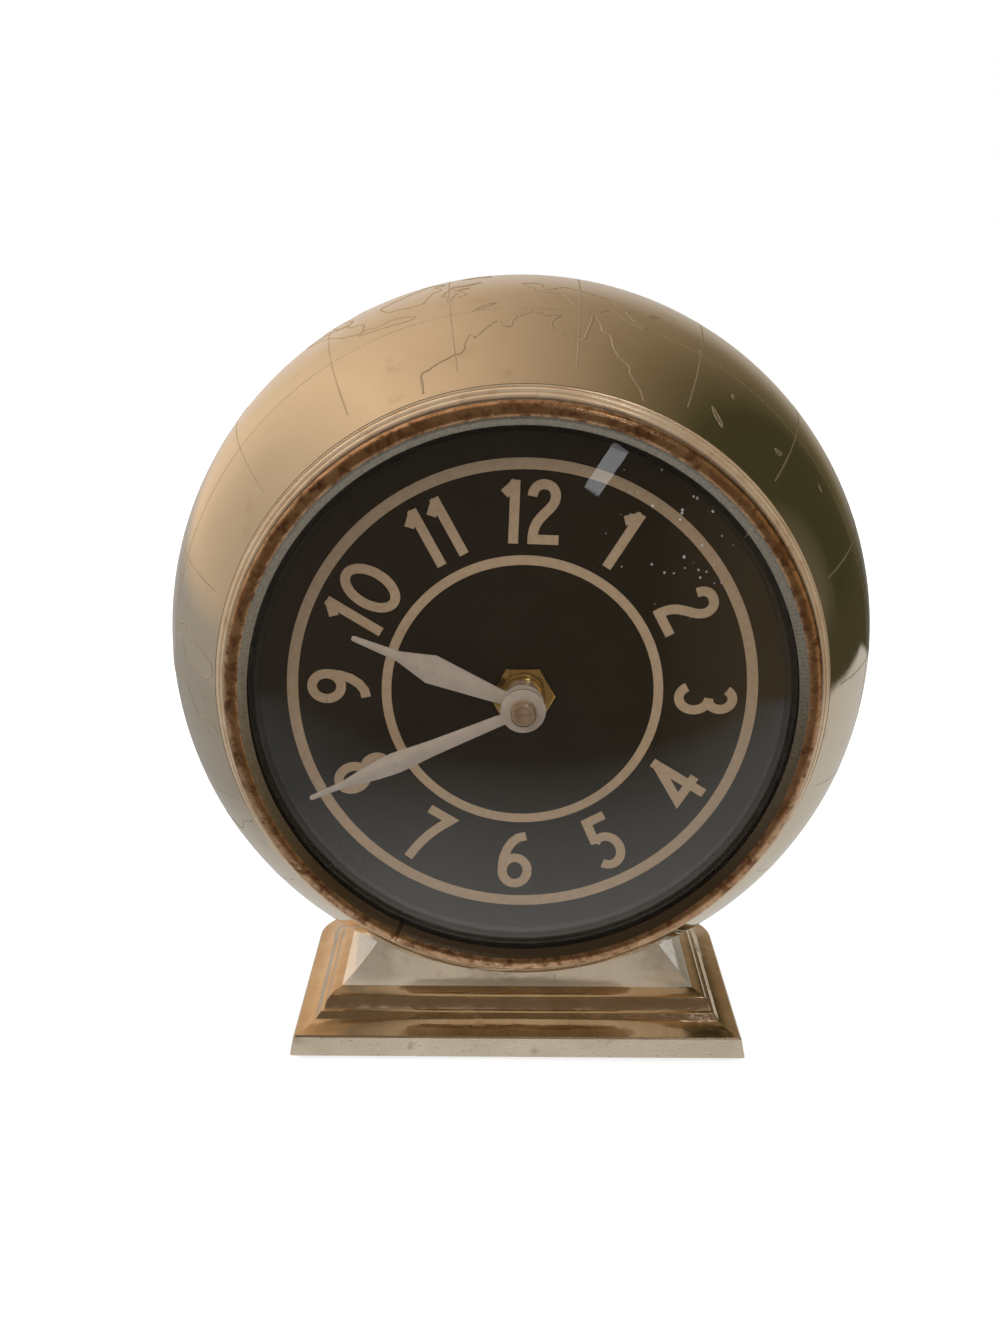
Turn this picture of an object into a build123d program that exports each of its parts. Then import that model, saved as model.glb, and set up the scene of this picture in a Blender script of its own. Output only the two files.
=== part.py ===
from build123d import *
import math
import os

# World time clock: a polished metal globe, cut off at the front for a dial under a domed glass, on a stepped base.
# Lengths are in millimetres. The origin is the middle of the underside, +Z is up and the dial faces -Y.
# Clock pieces are drawn in the dial frame: x to the right, y up and z towards the viewer, from the globe's centre.
# Places inside the movement are given as a depth behind the movement's front face.

# Globe
globe_radius = 80.0
globe_wall = 1.2
globe_lift = 18.2
opening_radius = 61.25
seam_ring_width = 10.0
seam_ring_wall = 1.0
seam_land_margin = 0.5
shell_bands_front = 4
shell_bands_rear = 8

# Gaps between pieces
seat_gap = 0.05
running_gap = 0.05
grip_gap = 0.1
hole_gap = 0.15
end_gap = 0.2

# Base
base_width = 106.0
base_depth = 61.0
base_rear_radius = 12.0
slab_height = 5.0
slab_draft = 0.9
pad_thickness = 1.0
pad_inset = 2.0
moulding_width = 10.6
moulding_height = 7.3
neck_run = 12.9
neck_rise = 14.4
neck_sag = 0.55

# Screw that holds the globe
screw_thread_radius = 2.5
screw_head_radius = 4.6
screw_head_height = 3.0
screw_slot_width = 1.2
screw_slot_depth = 1.4
washer_radius = 5.4
washer_thickness = 1.0
counterbore_depth = 6.0
boss_radius = 9.0
boss_height = 5.0

# Front rim, turned
rim_bore_radius = 57.0
rim_tube_wall = 1.5
rim_depth = 14.2
rim_spigot_length = 3.0
rim_band_radius = 60.6
rim_groove_width = 0.6
rim_step_thickness = 0.55
rim_band_thickness = 2.2
rim_face_recess = 0.25

# Holder of the insert
holder_radius = 56.2
holder_wall = 0.7
holder_flange_radius = 58.2
holder_flange_thickness = 0.6
holder_length = 16.9
ledge_width = 5.5
ledge_thickness = 0.8
grip_band_length = 8.0
grip_band_setback = 5.0

# Rolled bead round the glass
bead_radius = 1.8
bead_sheet = 0.6
bead_centre_radius = 56.8
bead_lip_radius = 54.0
bead_lip_drop = 0.9
bead_seam_width = 0.4
bead_seam_angle = 207.0
bead_start_angle = 35.0
bead_end_angle = 135.0
bead_steps = 6

# Glass, dial and what clamps the dial
glass_dome_radius = 100.0
glass_thickness = 1.8
glass_edge_gap = 0.3
glass_steps = 6
surround_height = 3.42
surround_inner_radius = 52.0
surround_outer_radius = 53.8
dial_thickness = 0.8
dial_edge_gap = 0.7
dial_hole_radius = 4.1
dial_washer_thickness = 1.03
dial_washer_radius = 9.0
nut_across_flats = 11.3
nut_height = 2.5
nut_chamfer = 0.35
bush_radius = 4.0
bush_bore_radius = 2.45
bush_flange_radius = 5.0
bush_flange_thickness = 0.5
bush_projection = 0.3

# Movement case
case_size = 56.0
case_corner_radius = 3.0
case_wall = 1.0
case_front_wall = 1.2
case_depth = 14.3
cover_thickness = 1.2
battery_radius = 7.1
battery_length = 49.3
battery_nub_radius = 2.75
battery_nub_length = 1.2
battery_gap = 0.3
cover_screw_radius = 0.75
cover_screw_head_radius = 1.5
cover_screw_head_height = 0.9
cover_screw_length = 8.0
cover_boss_radius = 1.6
boss_bite = 0.3
post_radius = 1.2
pivot_hole_depth = 0.7
pivot_boss_radius = 1.0

# Hands
hour_angle = 292.4
minute_angle = 245.2
hour_hand_length = 35.5
hour_hand_half_width = 2.93
hour_hand_thickness = 0.5
hour_hub_radius = 4.2
hour_hub_height = 7.4
hour_collet_radius = 3.6
minute_hand_length = 46.1
minute_hand_half_width = 2.15
minute_hand_thickness = 0.55
minute_hand_edge = 0.2
minute_hand_droop = 3.3
minute_hub_radius = 4.35
minute_hub_height = 10.5
minute_collet_radius = 2.4
hand_gap = 0.4
cap_nut_radius = 2.45
cap_nut_height = 2.7
cap_nut_chamfer = 0.6
cap_nut_dish = 0.35
arbor_tip_radius = 1.2
arbor_tip_length = 2.0

# Wheels: shafts, hubs and tooth proportions
hour_tube_radius = 2.4
hour_tube_bore = 1.65
minute_arbor_radius = 1.6
minute_core_radius = 1.3
arbor_radius = 0.45
pivot_radius = 0.3
hub_radius = 1.1
set_arbor_radius = 1.2
set_knob_radius = 4.5
set_knob_height = 2.8
set_knob_flutes = 16
set_knob_flute_radius = 0.55
tooth_height_share = 0.78
tooth_root_share = 1.05
tooth_width_share = 0.38
tooth_tip_share = 0.2

# Motion work: teeth and module
motion_module = 0.30
cannon_teeth = 12
minute_wheel_teeth = 36
minute_pinion_teeth = 8
hour_wheel_teeth = 32
set_pinion_teeth = 12
minute_wheel_direction = 160.0
set_pinion_direction = 170.0

# Going train: teeth, modules and the directions from each axis to the next
coarse_module = 0.30
fine_module = 0.25
centre_teeth = 45
third_pinion_teeth = 6
third_teeth = 48
seconds_pinion_teeth = 6
seconds_teeth = 30
intermediate_pinion_teeth = 6
intermediate_teeth = 36
rotor_pinion_teeth = 6
third_direction = 60.0
seconds_direction = 20.0
intermediate_direction = 90.0
rotor_direction = 150.0

# Depths of the layers behind the movement's front face
hour_wheel_depth = 2.0
hour_wheel_thickness = 0.8
minute_pinion_depth = 1.9
cannon_depth = 3.3
minute_wheel_depth = 3.4
wheel_thickness = 0.8
pinion_thickness = 1.2
centre_wheel_depth = 5.0
spring_depth = 5.9
spring_thickness = 0.3
plate_depth = 6.6
plate_thickness = 0.8
third_wheel_depth = 8.0
thin_wheel_thickness = 0.7
magnet_depth = 8.0
magnet_length = 2.6
magnet_radius = 3.0
stator_depth = 8.9
stator_thickness = 0.4
stator_gap = 0.5
stator_ring_wall = 0.9
seconds_wheel_depth = 9.6
intermediate_wheel_depth = 11.2
rotor_pinion_depth = 11.0

# Motor coil and electronics
coil_left = -18.0
coil_length = 19.0
coil_height = 22.5
coil_radius = 3.8
bobbin_flange_radius = 4.1
bobbin_flange_thickness = 0.8
bobbin_wall = 0.4
core_thickness = 1.2
core_width = 3.0
core_overhang = 4.0
stator_leg_width = 3.0
stator_strip_height = 14.9
board_left = -26.0
board_bottom = -10.5
board_width = 20.0
board_height = 10.5
board_depth = 9.0
board_thickness = 1.0
quartz_radius = 1.0
quartz_length = 6.0
chip_radius = 2.4
chip_height = 0.9
contact_thickness = 0.4
contact_width = 9.0
contact_bend = 0.9

# Places in the train plate
plate_left = -16.5
plate_right = 16.5
plate_bottom = -9.5
plate_top = 25.5
plate_step_x = 3.2
plate_step_y = 17.6
plate_post_inset = 1.6

# Profiles as shares of the sizes that they follow
moulding_profile_shares = [
    (0.0, 0.0),
    (0.14, 0.045),
    (0.28, 0.11),
    (0.40, 0.21),
    (0.485, 0.33),
    (0.545, 0.425),
    (0.615, 0.465),
    (0.637, 0.575),
    (0.67, 0.71),
    (0.727, 0.835),
    (0.82, 0.925),
    (1.0, 1.0),
]
neck_profile_shares = [0.25, 0.5, 0.75, 1.0]
hour_hand_outline_shares = [
    (0.08, 0.44),
    (0.135, 0.485),
    (0.54, 1.0),
    (0.73, 0.34),
    (0.985, 0.17),
]
minute_hand_outline_shares = [
    (0.07, 0.49),
    (0.11, 0.51),
    (0.42, 0.735),
    (0.54, 0.93),
    (0.59, 1.0),
    (0.64, 0.94),
    (0.735, 0.70),
    (0.84, 0.30),
    (0.99, 0.21),
]

# Places worked out from the sizes
globe_height = globe_lift + globe_radius
globe_inner_radius = globe_radius - globe_wall
seam_land = seam_ring_width / 2 + seam_land_margin
seam_ring_outer = math.sqrt(globe_inner_radius**2 - seam_land**2) - seat_gap
opening_z = math.sqrt(globe_radius**2 - opening_radius**2)
rim_front = opening_z + rim_step_thickness + rim_band_thickness
flange_back = rim_front - rim_face_recess + seat_gap
flange_front = flange_back + holder_flange_thickness
holder_bore_radius = holder_radius - holder_wall
glass_edge_radius = holder_bore_radius - glass_edge_gap
bead_centre_z = flange_front + bead_radius * math.sin(math.radians(bead_start_angle)) + seat_gap
glass_inner_dome = glass_dome_radius - glass_thickness
lip_back = bead_centre_z - bead_lip_drop + bead_sheet
glass_centre_z = lip_back - seat_gap - math.sqrt(glass_dome_radius**2 - bead_lip_radius**2)
glass_edge_z = glass_centre_z + math.sqrt(glass_inner_dome**2 - glass_edge_radius**2)
dial_front = glass_edge_z - seat_gap - surround_height
dial_radius = holder_bore_radius - dial_edge_gap
ledge_front = dial_front - dial_thickness
movement_front = ledge_front - dial_washer_thickness
nut_front = dial_front + nut_height
bush_front = nut_front + bush_projection
bay_height = (battery_radius + battery_gap) * 2
bay_bottom = -case_size / 2 + case_wall
bay_top = bay_bottom + bay_height
chamber_bottom = bay_top + case_wall
battery_y = bay_bottom + bay_height / 2
battery_depth = case_front_wall + battery_gap + battery_radius
cover_bottom = bay_top + seat_gap
base_top = pad_thickness + slab_height
cap_face = minute_hub_height + minute_hand_thickness


def polar(distance, degrees):
    """A place at a distance from zero, counter-clockwise from +x in the dial frame."""
    return (
        distance * math.cos(math.radians(degrees)),
        distance * math.sin(math.radians(degrees)),
    )


def step_from(start, distance, degrees):
    """The place that lies at a distance and direction from another place."""
    dx, dy = polar(distance, degrees)
    return (start[0] + dx, start[1] + dy)


def centre_distance(module, first_teeth, second_teeth):
    """The distance between the axes of two wheels in mesh."""
    return module * (first_teeth + second_teeth) / 2


# Axes of the wheels in the dial frame
dial_axis = (0.0, 0.0)
motion_distance = centre_distance(motion_module, cannon_teeth, minute_wheel_teeth)
hour_module = motion_distance * 2 / (minute_pinion_teeth + hour_wheel_teeth)
minute_wheel_axis = step_from(dial_axis, motion_distance, minute_wheel_direction)
set_distance = centre_distance(motion_module, set_pinion_teeth, minute_wheel_teeth)
set_axis = step_from(minute_wheel_axis, set_distance, set_pinion_direction)
third_distance = centre_distance(coarse_module, centre_teeth, third_pinion_teeth)
third_axis = step_from(dial_axis, third_distance, third_direction)
seconds_distance = centre_distance(fine_module, third_teeth, seconds_pinion_teeth)
seconds_axis = step_from(third_axis, seconds_distance, seconds_direction)
intermediate_distance = centre_distance(coarse_module, seconds_teeth, intermediate_pinion_teeth)
intermediate_axis = step_from(seconds_axis, intermediate_distance, intermediate_direction)
rotor_distance = centre_distance(fine_module, intermediate_teeth, rotor_pinion_teeth)
rotor_axis = step_from(intermediate_axis, rotor_distance, rotor_direction)


def at_depth(depth):
    """Height in the dial frame of a depth behind the movement's front face."""
    return movement_front - depth


def turned(*points):
    """A solid turned about the z axis from a closed outline of (radius, z) points."""
    outline = make_face(Plane.XZ * Polyline(*points, close=True))
    return revolve(outline, Axis.Z)


def turned_edges(*edges):
    """A solid turned about the z axis from joined edges drawn in (radius, z)."""
    outline = make_face(Plane.XZ * Curve(edges))
    return revolve(outline, Axis.Z)


def disc(radius, low, high, place=(0.0, 0.0)):
    """A round bar between two heights."""
    return extrude(Plane((place[0], place[1], low)) * Circle(radius), high - low)


def tube(radius, bore, low, high, place=(0.0, 0.0)):
    """A round tube between two heights."""
    ring = Circle(radius) - Circle(bore)
    return extrude(Plane((place[0], place[1], low)) * ring, high - low)


def slab_between(x_low, x_high, y_low, y_high, z_low, z_high):
    """A rectangular block between its limits."""
    block = Box(x_high - x_low, y_high - y_low, z_high - z_low)
    return Pos((x_low + x_high) / 2, (y_low + y_high) / 2, (z_low + z_high) / 2) * block


def wheel(teeth, module, thickness, depth, place, phase, bore=0.0):
    """A toothed wheel whose first tooth points at the phase angle. Its front face lies at the depth."""
    pitch_radius = module * teeth / 2
    tip_radius = pitch_radius + module * tooth_height_share
    root_radius = pitch_radius - module * tooth_root_share
    pitch = 360 / teeth
    root_half = pitch * (tooth_width_share + tooth_tip_share) / 2
    tip_half = pitch * (tooth_width_share - tooth_tip_share) / 2
    points = []
    for number in range(teeth):
        middle = phase + number * pitch
        points.append(polar(root_radius, middle - root_half))
        points.append(polar(tip_radius, middle - tip_half))
        points.append(polar(tip_radius, middle + tip_half))
        points.append(polar(root_radius, middle + root_half))
    face = make_face(Polyline(*points, close=True))
    if bore:
        face -= Circle(bore)
    back = at_depth(depth + thickness)
    return Pos(place[0], place[1], back) * extrude(face, thickness)


def partner_phase(phase, teeth, partner_teeth, direction):
    """The tooth phase that puts a partner in mesh with a wheel, when the partner lies in the direction."""
    lag = (direction - phase) % (360 / teeth)
    return direction + 180 + lag * teeth / partner_teeth + 180 / partner_teeth


def bar(radius, front_depth, back_depth, place):
    """A round arbor between two depths in the movement."""
    return disc(radius, at_depth(back_depth), at_depth(front_depth), place)


# Depths where arbors run in the cover, the plate and the front bosses
cover_pivot_end = case_depth + pivot_hole_depth - end_gap
cover_shoulder = case_depth - end_gap
plate_pivot_start = plate_depth + end_gap
plate_shoulder = plate_depth + plate_thickness + end_gap
front_boss_end = case_front_wall + running_gap + pinion_thickness * 2 + wheel_thickness
front_boss_shoulder = front_boss_end + end_gap


def pivoted_arbor(place, shoulder, pivot_start):
    """An arbor with a thin pivot at its front end and another in the cover."""
    body = bar(arbor_radius, shoulder, cover_shoulder, place)
    front = bar(pivot_radius, pivot_start, shoulder, place)
    back = bar(pivot_radius, cover_shoulder, cover_pivot_end, place)
    return body + front + back


# The globe


def circle_points(centre, radius, first, last, steps):
    """Evenly spaced (radius, z) points on an arc between two angles, where zero points outwards."""
    points = []
    for number in range(steps + 1):
        turn = math.radians(first + (last - first) * number / steps)
        points.append((centre[0] + radius * math.cos(turn), centre[1] + radius * math.sin(turn)))
    return points


def globe_shell(outer_end, middle, inner_last, steps):
    """Half of the pressed sphere from the seam. Its inside is pressed in flat bands behind a straight seam land."""
    side = math.copysign(1, middle[1])
    land = math.degrees(math.asin(seam_land / globe_inner_radius)) * side
    inner = circle_points(dial_axis, globe_inner_radius, land, inner_last, steps)
    edges = [
        ThreePointArc((globe_radius, 0), middle, outer_end),
        Line(outer_end, inner[-1]),
        Polyline(*reversed(inner)),
        Line(inner[0], (inner[0][0], 0)),
        Line((inner[0][0], 0), (globe_radius, 0)),
    ]
    return turned_edges(*edges) - bottom_drill(screw_thread_radius + hole_gap)


def bottom_drill(radius):
    """A drill through the bottom of the globe, along the dial frame's y axis."""
    reach = globe_radius
    return Pos(0, -reach, 0) * Rot(90, 0, 0) * Cylinder(radius, reach)


def globe_front():
    opening_angle = math.degrees(math.asin(opening_z / globe_radius))
    middle = polar(globe_radius, opening_angle / 2)
    inner_angle = math.degrees(math.asin(opening_z / globe_inner_radius))
    return globe_shell((opening_radius, opening_z), middle, inner_angle, shell_bands_front)


def globe_rear():
    return globe_shell((0, -globe_radius), polar(globe_radius, -45), -90, shell_bands_rear)


def seam_ring():
    """The lap ring behind the seam."""
    half = seam_ring_width / 2
    ring = tube(seam_ring_outer, seam_ring_outer - seam_ring_wall, -half, half)
    return ring - bottom_drill(screw_thread_radius + hole_gap)


def globe_boss():
    """A round pad inside the bottom of the globe, drawn in the dial frame, with the screw's threaded hole."""
    seat = seam_ring_outer - seam_ring_wall - seat_gap
    pad = Pos(0, -seat, 0) * Rot(90, 0, 0) * Cylinder(boss_radius, boss_height * 2)
    pad &= Rot(0, 0, 0) * Cylinder(seat, boss_radius * 2)
    return pad - bottom_drill(screw_thread_radius + running_gap)


def front_rim():
    """The turned ring in the globe's opening: a spigot, a rounded band and the bore that the insert slides in."""
    tube_radius = rim_bore_radius + rim_tube_wall
    spigot_radius = math.sqrt(globe_inner_radius**2 - opening_z**2) - seat_gap
    step_front = opening_z + rim_step_thickness
    inner_face = rim_front - rim_face_recess
    groove_radius = rim_band_radius - rim_groove_width / 2
    band_inner = tube_radius + rim_groove_width
    shoulder_share = 0.55
    shoulder = (groove_radius, step_front + rim_band_thickness * shoulder_share)
    edges = [
        Line((rim_bore_radius, opening_z - rim_depth), (tube_radius, opening_z - rim_depth)),
        Line((tube_radius, opening_z - rim_depth), (tube_radius, opening_z - rim_spigot_length)),
        Line((tube_radius, opening_z - rim_spigot_length), (spigot_radius, opening_z - rim_spigot_length)),
        Line((spigot_radius, opening_z - rim_spigot_length), (spigot_radius, opening_z)),
        Line((spigot_radius, opening_z), (opening_radius - rim_face_recess, opening_z)),
        Line((opening_radius - rim_face_recess, opening_z), (groove_radius, step_front)),
        Line((groove_radius, step_front), (rim_band_radius, step_front)),
        Polyline((rim_band_radius, step_front), shoulder, (band_inner, rim_front)),
        Line((band_inner, rim_front), (tube_radius, inner_face)),
        Line((tube_radius, inner_face), (rim_bore_radius, inner_face)),
        Line((rim_bore_radius, inner_face), (rim_bore_radius, opening_z - rim_depth)),
    ]
    return turned_edges(*edges)


# The base, drawn in the object's own frame


def base_outline(inset, height):
    """The base's outline at an inset from the slab's top edge: sharp corners in front, rounded ones behind."""
    half_width = base_width / 2 - inset
    half_depth = base_depth / 2 - inset
    corner = min(base_rear_radius, half_depth)
    diagonal = corner * math.sqrt(0.5)
    right = (half_width - corner, half_depth - corner)
    left = (corner - half_width, half_depth - corner)
    edges = [
        Line((-half_width, -half_depth), (half_width, -half_depth)),
        Line((half_width, -half_depth), (half_width, right[1])),
        ThreePointArc(
            (half_width, right[1]),
            (right[0] + diagonal, right[1] + diagonal),
            (right[0], half_depth),
        ),
        Line((right[0], half_depth), (left[0], half_depth)),
        ThreePointArc(
            (left[0], half_depth),
            (left[0] - diagonal, left[1] + diagonal),
            (-half_width, left[1]),
        ),
        Line((-half_width, left[1]), (-half_width, -half_depth)),
    ]
    return Pos(0, 0, height) * make_face(Curve(edges))


def base_casting():
    """The solid casting: slab, two mouldings and a hipped neck hollowed on top to seat the globe."""
    outlines = [base_outline(-slab_draft, pad_thickness)]
    for inset_share, rise_share in moulding_profile_shares:
        inset = moulding_width * inset_share
        height = base_top + moulding_height * rise_share
        outlines.append(base_outline(inset, height))
    for share in neck_profile_shares:
        sag = neck_sag * math.sin(math.pi * share)
        inset = moulding_width + neck_run * share + sag
        height = base_top + moulding_height + neck_rise * share - sag
        outlines.append(base_outline(inset, height))
    body = loft(outlines, ruled=True)
    body -= Pos(0, 0, globe_height) * Sphere(globe_radius + seat_gap)
    recess = washer_radius + end_gap
    body -= disc(recess, pad_thickness, pad_thickness + counterbore_depth)
    return body - disc(screw_thread_radius + hole_gap, pad_thickness, globe_height)


def base_pad():
    return extrude(base_outline(pad_inset - slab_draft, 0), pad_thickness)


washer_top = pad_thickness + counterbore_depth
head_top = washer_top - washer_thickness
screw_end = globe_lift + globe_wall + seam_ring_wall + boss_height


def base_screw():
    head = disc(screw_head_radius, head_top - screw_head_height, head_top)
    slot_low = head_top - screw_head_height
    slot = slab_between(
        -screw_head_radius, screw_head_radius, -screw_slot_width / 2, screw_slot_width / 2,
        slot_low, slot_low + screw_slot_depth,
    )
    return head - slot + disc(screw_thread_radius, head_top, screw_end)


def base_washer():
    return tube(washer_radius, screw_thread_radius + hole_gap, head_top, washer_top)


# The insert: holder, bead, glass and dial


def movement_holder():
    """The moulded cup: a flange that seats on the rim, a tube and the ledge that carries the dial."""
    back = flange_front - holder_length
    ledge_back = ledge_front - ledge_thickness
    ledge_radius = holder_bore_radius - ledge_width
    return turned(
        (holder_radius, back),
        (holder_radius, flange_back),
        (holder_flange_radius, flange_back),
        (holder_flange_radius, flange_front),
        (holder_bore_radius, flange_front),
        (holder_bore_radius, ledge_front),
        (ledge_radius, ledge_front),
        (ledge_radius, ledge_back),
        (holder_bore_radius, ledge_back),
        (holder_bore_radius, back),
    )


def grip_band():
    high = flange_back - grip_band_setback
    return tube(rim_bore_radius - grip_gap, holder_radius, high - grip_band_length, high)


def bezel_ring():
    """The bead: a strip rolled to a hollow section and bent to a ring, with its ends butted."""
    outer = bead_radius
    inner = bead_radius - bead_sheet
    centre = (bead_centre_radius, bead_centre_z)
    outside = circle_points(centre, outer, -bead_start_angle, bead_end_angle, bead_steps)
    inside = circle_points(centre, inner, bead_end_angle, -bead_start_angle, bead_steps)
    lip = [(bead_lip_radius, lip_back + bead_sheet), (bead_lip_radius, lip_back)]
    ring = turned(*outside, *lip, *inside)
    reach = bead_radius * 2
    seam = slab_between(
        -bead_seam_width / 2, bead_seam_width / 2,
        bead_centre_radius - reach, bead_centre_radius + reach,
        bead_centre_z - reach, bead_centre_z + reach,
    )
    return ring - Rot(0, 0, -bead_seam_angle) * seam


def glass_crystal():
    """The domed glass, of even thickness."""
    outer_edge = glass_centre_z + math.sqrt(glass_dome_radius**2 - glass_edge_radius**2)
    half_radius = glass_edge_radius / 2
    outer_half = glass_centre_z + math.sqrt(glass_dome_radius**2 - half_radius**2)
    edge_angle = math.degrees(math.acos(glass_edge_radius / glass_inner_dome))
    inner = circle_points((0, glass_centre_z), glass_inner_dome, edge_angle, 90, glass_steps)
    top = (0, glass_centre_z + glass_dome_radius)
    edges = [
        ThreePointArc(top, (half_radius, outer_half), (glass_edge_radius, outer_edge)),
        Line((glass_edge_radius, outer_edge), inner[0]),
        Polyline(*inner),
        Line(inner[-1], top),
    ]
    return turned_edges(*edges)


def dial_surround():
    top = glass_edge_z - seat_gap
    return turned(
        (surround_inner_radius, dial_front),
        (surround_outer_radius, top),
        (glass_edge_radius, top),
        (glass_edge_radius, dial_front),
    )


def dial_plate():
    return tube(dial_radius, dial_hole_radius, ledge_front, dial_front)


def dial_washer():
    return tube(dial_washer_radius, dial_hole_radius, movement_front, ledge_front)


def mounting_nut():
    """The hexagon nut, chamfered at its corners, with its bore a thread's depth wider than the bush."""
    blank = extrude(Pos(0, 0, dial_front) * RegularPolygon(nut_across_flats / 2, 6, major_radius=False), nut_height)
    corner = nut_across_flats / math.sqrt(3)
    top_radius = nut_across_flats / 2
    cone = turned(
        (0, dial_front),
        (corner, dial_front),
        (corner, nut_front - nut_chamfer),
        (top_radius, nut_front),
        (0, nut_front),
    )
    return (blank & cone) - disc(bush_radius + running_gap, dial_front, nut_front)


def movement_bush():
    """The threaded bush: a tube through case and dial with a flange inside the case."""
    inside = at_depth(case_front_wall)
    body = tube(bush_radius, bush_bore_radius, inside, bush_front)
    flange = tube(bush_flange_radius, bush_bore_radius, inside - bush_flange_thickness, inside)
    return body + flange


# The movement's case


def case_outline():
    return RectangleRounded(case_size, case_size, case_corner_radius)


boss_inset = case_wall + cover_boss_radius - boss_bite
cover_screw_places = [
    (case_size / 2 - boss_inset, case_size / 2 - boss_inset),
    (boss_inset - case_size / 2, case_size / 2 - boss_inset),
    (case_size / 2 - boss_inset, chamber_bottom + cover_boss_radius - boss_bite),
    (boss_inset - case_size / 2, cover_boss_radius * 1.5),
]
plate_post_places = [
    (plate_left + plate_post_inset, plate_bottom + plate_post_inset),
    (plate_right - plate_post_inset, plate_bottom + plate_post_inset),
    (plate_right - plate_post_inset, plate_top - plate_post_inset),
    (plate_left + plate_post_inset, plate_step_y - plate_post_inset),
]
stator_leg_left = coil_left - core_overhang
stator_leg_right = coil_left + coil_length + core_overhang / 2
left_leg_place = (stator_leg_left + stator_leg_width / 2, (stator_strip_height + coil_height) / 2)
right_leg_place = (stator_leg_right + stator_leg_width / 2, coil_height - core_width / 4)
board_post_places = [
    (board_left + post_radius * 1.5, board_bottom + post_radius * 1.5),
    (board_left + post_radius * 1.5, board_bottom + board_height - post_radius * 1.5),
]
board_pillar_place = (board_left + board_width * 0.6, board_bottom + board_height * 0.3)


def movement_case():
    """The front tray: train chamber above, battery bay below, with posts and bosses moulded in."""
    half = case_size / 2
    inner = half - case_wall
    back = at_depth(case_depth)
    floor = at_depth(case_front_wall)
    body = extrude(Pos(0, 0, back) * case_outline(), case_depth)
    inner_corner = case_corner_radius - case_wall
    pocket = RectangleRounded(inner * 2, inner * 2, inner_corner)
    chamber = pocket & Pos(0, (chamber_bottom + half) / 2) * Rectangle(case_size, half - chamber_bottom)
    bay = pocket & Pos(0, (bay_top - half) / 2) * Rectangle(case_size, half + bay_top)
    body -= extrude(Pos(0, 0, back) * chamber, case_depth - case_front_wall)
    body -= extrude(Pos(0, 0, back) * bay, case_depth - case_front_wall)
    for place in cover_screw_places:
        boss = tube(cover_boss_radius, cover_screw_radius + running_gap, back, floor, place)
        body += boss
    for place in plate_post_places:
        body += disc(post_radius, at_depth(plate_depth), floor, place)
    for place in board_post_places:
        body += disc(post_radius, at_depth(board_depth), floor, place)
    body += disc(post_radius, at_depth(stator_depth), floor, left_leg_place)
    third_boss = tube(pivot_boss_radius, pivot_radius + running_gap, at_depth(front_boss_end), floor, third_axis)
    body += third_boss
    minute_post_end = minute_wheel_depth + wheel_thickness + end_gap
    body += bar(arbor_radius, case_front_wall, minute_post_end, minute_wheel_axis)
    return body - disc(bush_radius + running_gap, floor, movement_front)


def movement_cover():
    """The cover over the train chamber, with blind pivot holes and the setting arbor's hole."""
    back = at_depth(case_depth + cover_thickness)
    half = case_size / 2
    area = case_outline() & Pos(0, (cover_bottom + half) / 2) * Rectangle(case_size, half - cover_bottom)
    cover = extrude(Pos(0, 0, back) * area, cover_thickness)
    for place in cover_screw_places:
        cover -= disc(cover_screw_radius + hole_gap, back, at_depth(case_depth), place)
    cover -= disc(set_arbor_radius + running_gap, back, at_depth(case_depth), set_axis)
    for place in (third_axis, seconds_axis, intermediate_axis, rotor_axis):
        cover -= bar(pivot_radius + running_gap, case_depth, case_depth + pivot_hole_depth, place)
    return cover


def cover_screws():
    """The cover's four screws, as separate solids."""
    seat = case_depth + cover_thickness
    screws = []
    for place in cover_screw_places:
        head = bar(cover_screw_head_radius, seat, seat + cover_screw_head_height, place)
        slot = Pos(place[0], place[1], at_depth(seat + cover_screw_head_height)) * Box(
            cover_screw_head_radius * 2, cover_screw_radius / 2, cover_screw_head_height
        )
        shank = bar(cover_screw_radius, seat - cover_screw_length, seat, place)
        screws.append(head - slot + shank)
    return Compound(screws)


def train_plate():
    """The middle plate: pivot holes for the wheels and pillars for the stator and the circuit board."""
    outline = make_face(
        Polyline(
            (plate_left, plate_bottom),
            (plate_right, plate_bottom),
            (plate_right, plate_top),
            (plate_step_x, plate_top),
            (plate_step_x, plate_step_y),
            (plate_left, plate_step_y),
            close=True,
        )
    )
    outline = fillet(outline.vertices(), post_radius)
    back = at_depth(plate_depth + plate_thickness)
    plate = extrude(Pos(0, 0, back) * outline, plate_thickness)
    plate += bar(post_radius, plate_depth + plate_thickness, stator_depth, right_leg_place)
    plate += bar(post_radius, plate_depth + plate_thickness, board_depth, board_pillar_place)
    holes = [
        (dial_axis, arbor_radius * 2 + running_gap),
        (third_axis, arbor_radius + end_gap),
        (seconds_axis, pivot_radius + running_gap),
        (intermediate_axis, pivot_radius + running_gap),
        (rotor_axis, pivot_radius + running_gap),
        (set_axis, set_arbor_radius + hole_gap),
    ]
    for place, radius in holes:
        plate -= bar(radius, plate_depth, plate_depth + plate_thickness, place)
    return plate


# The motor and the electronics


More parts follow.
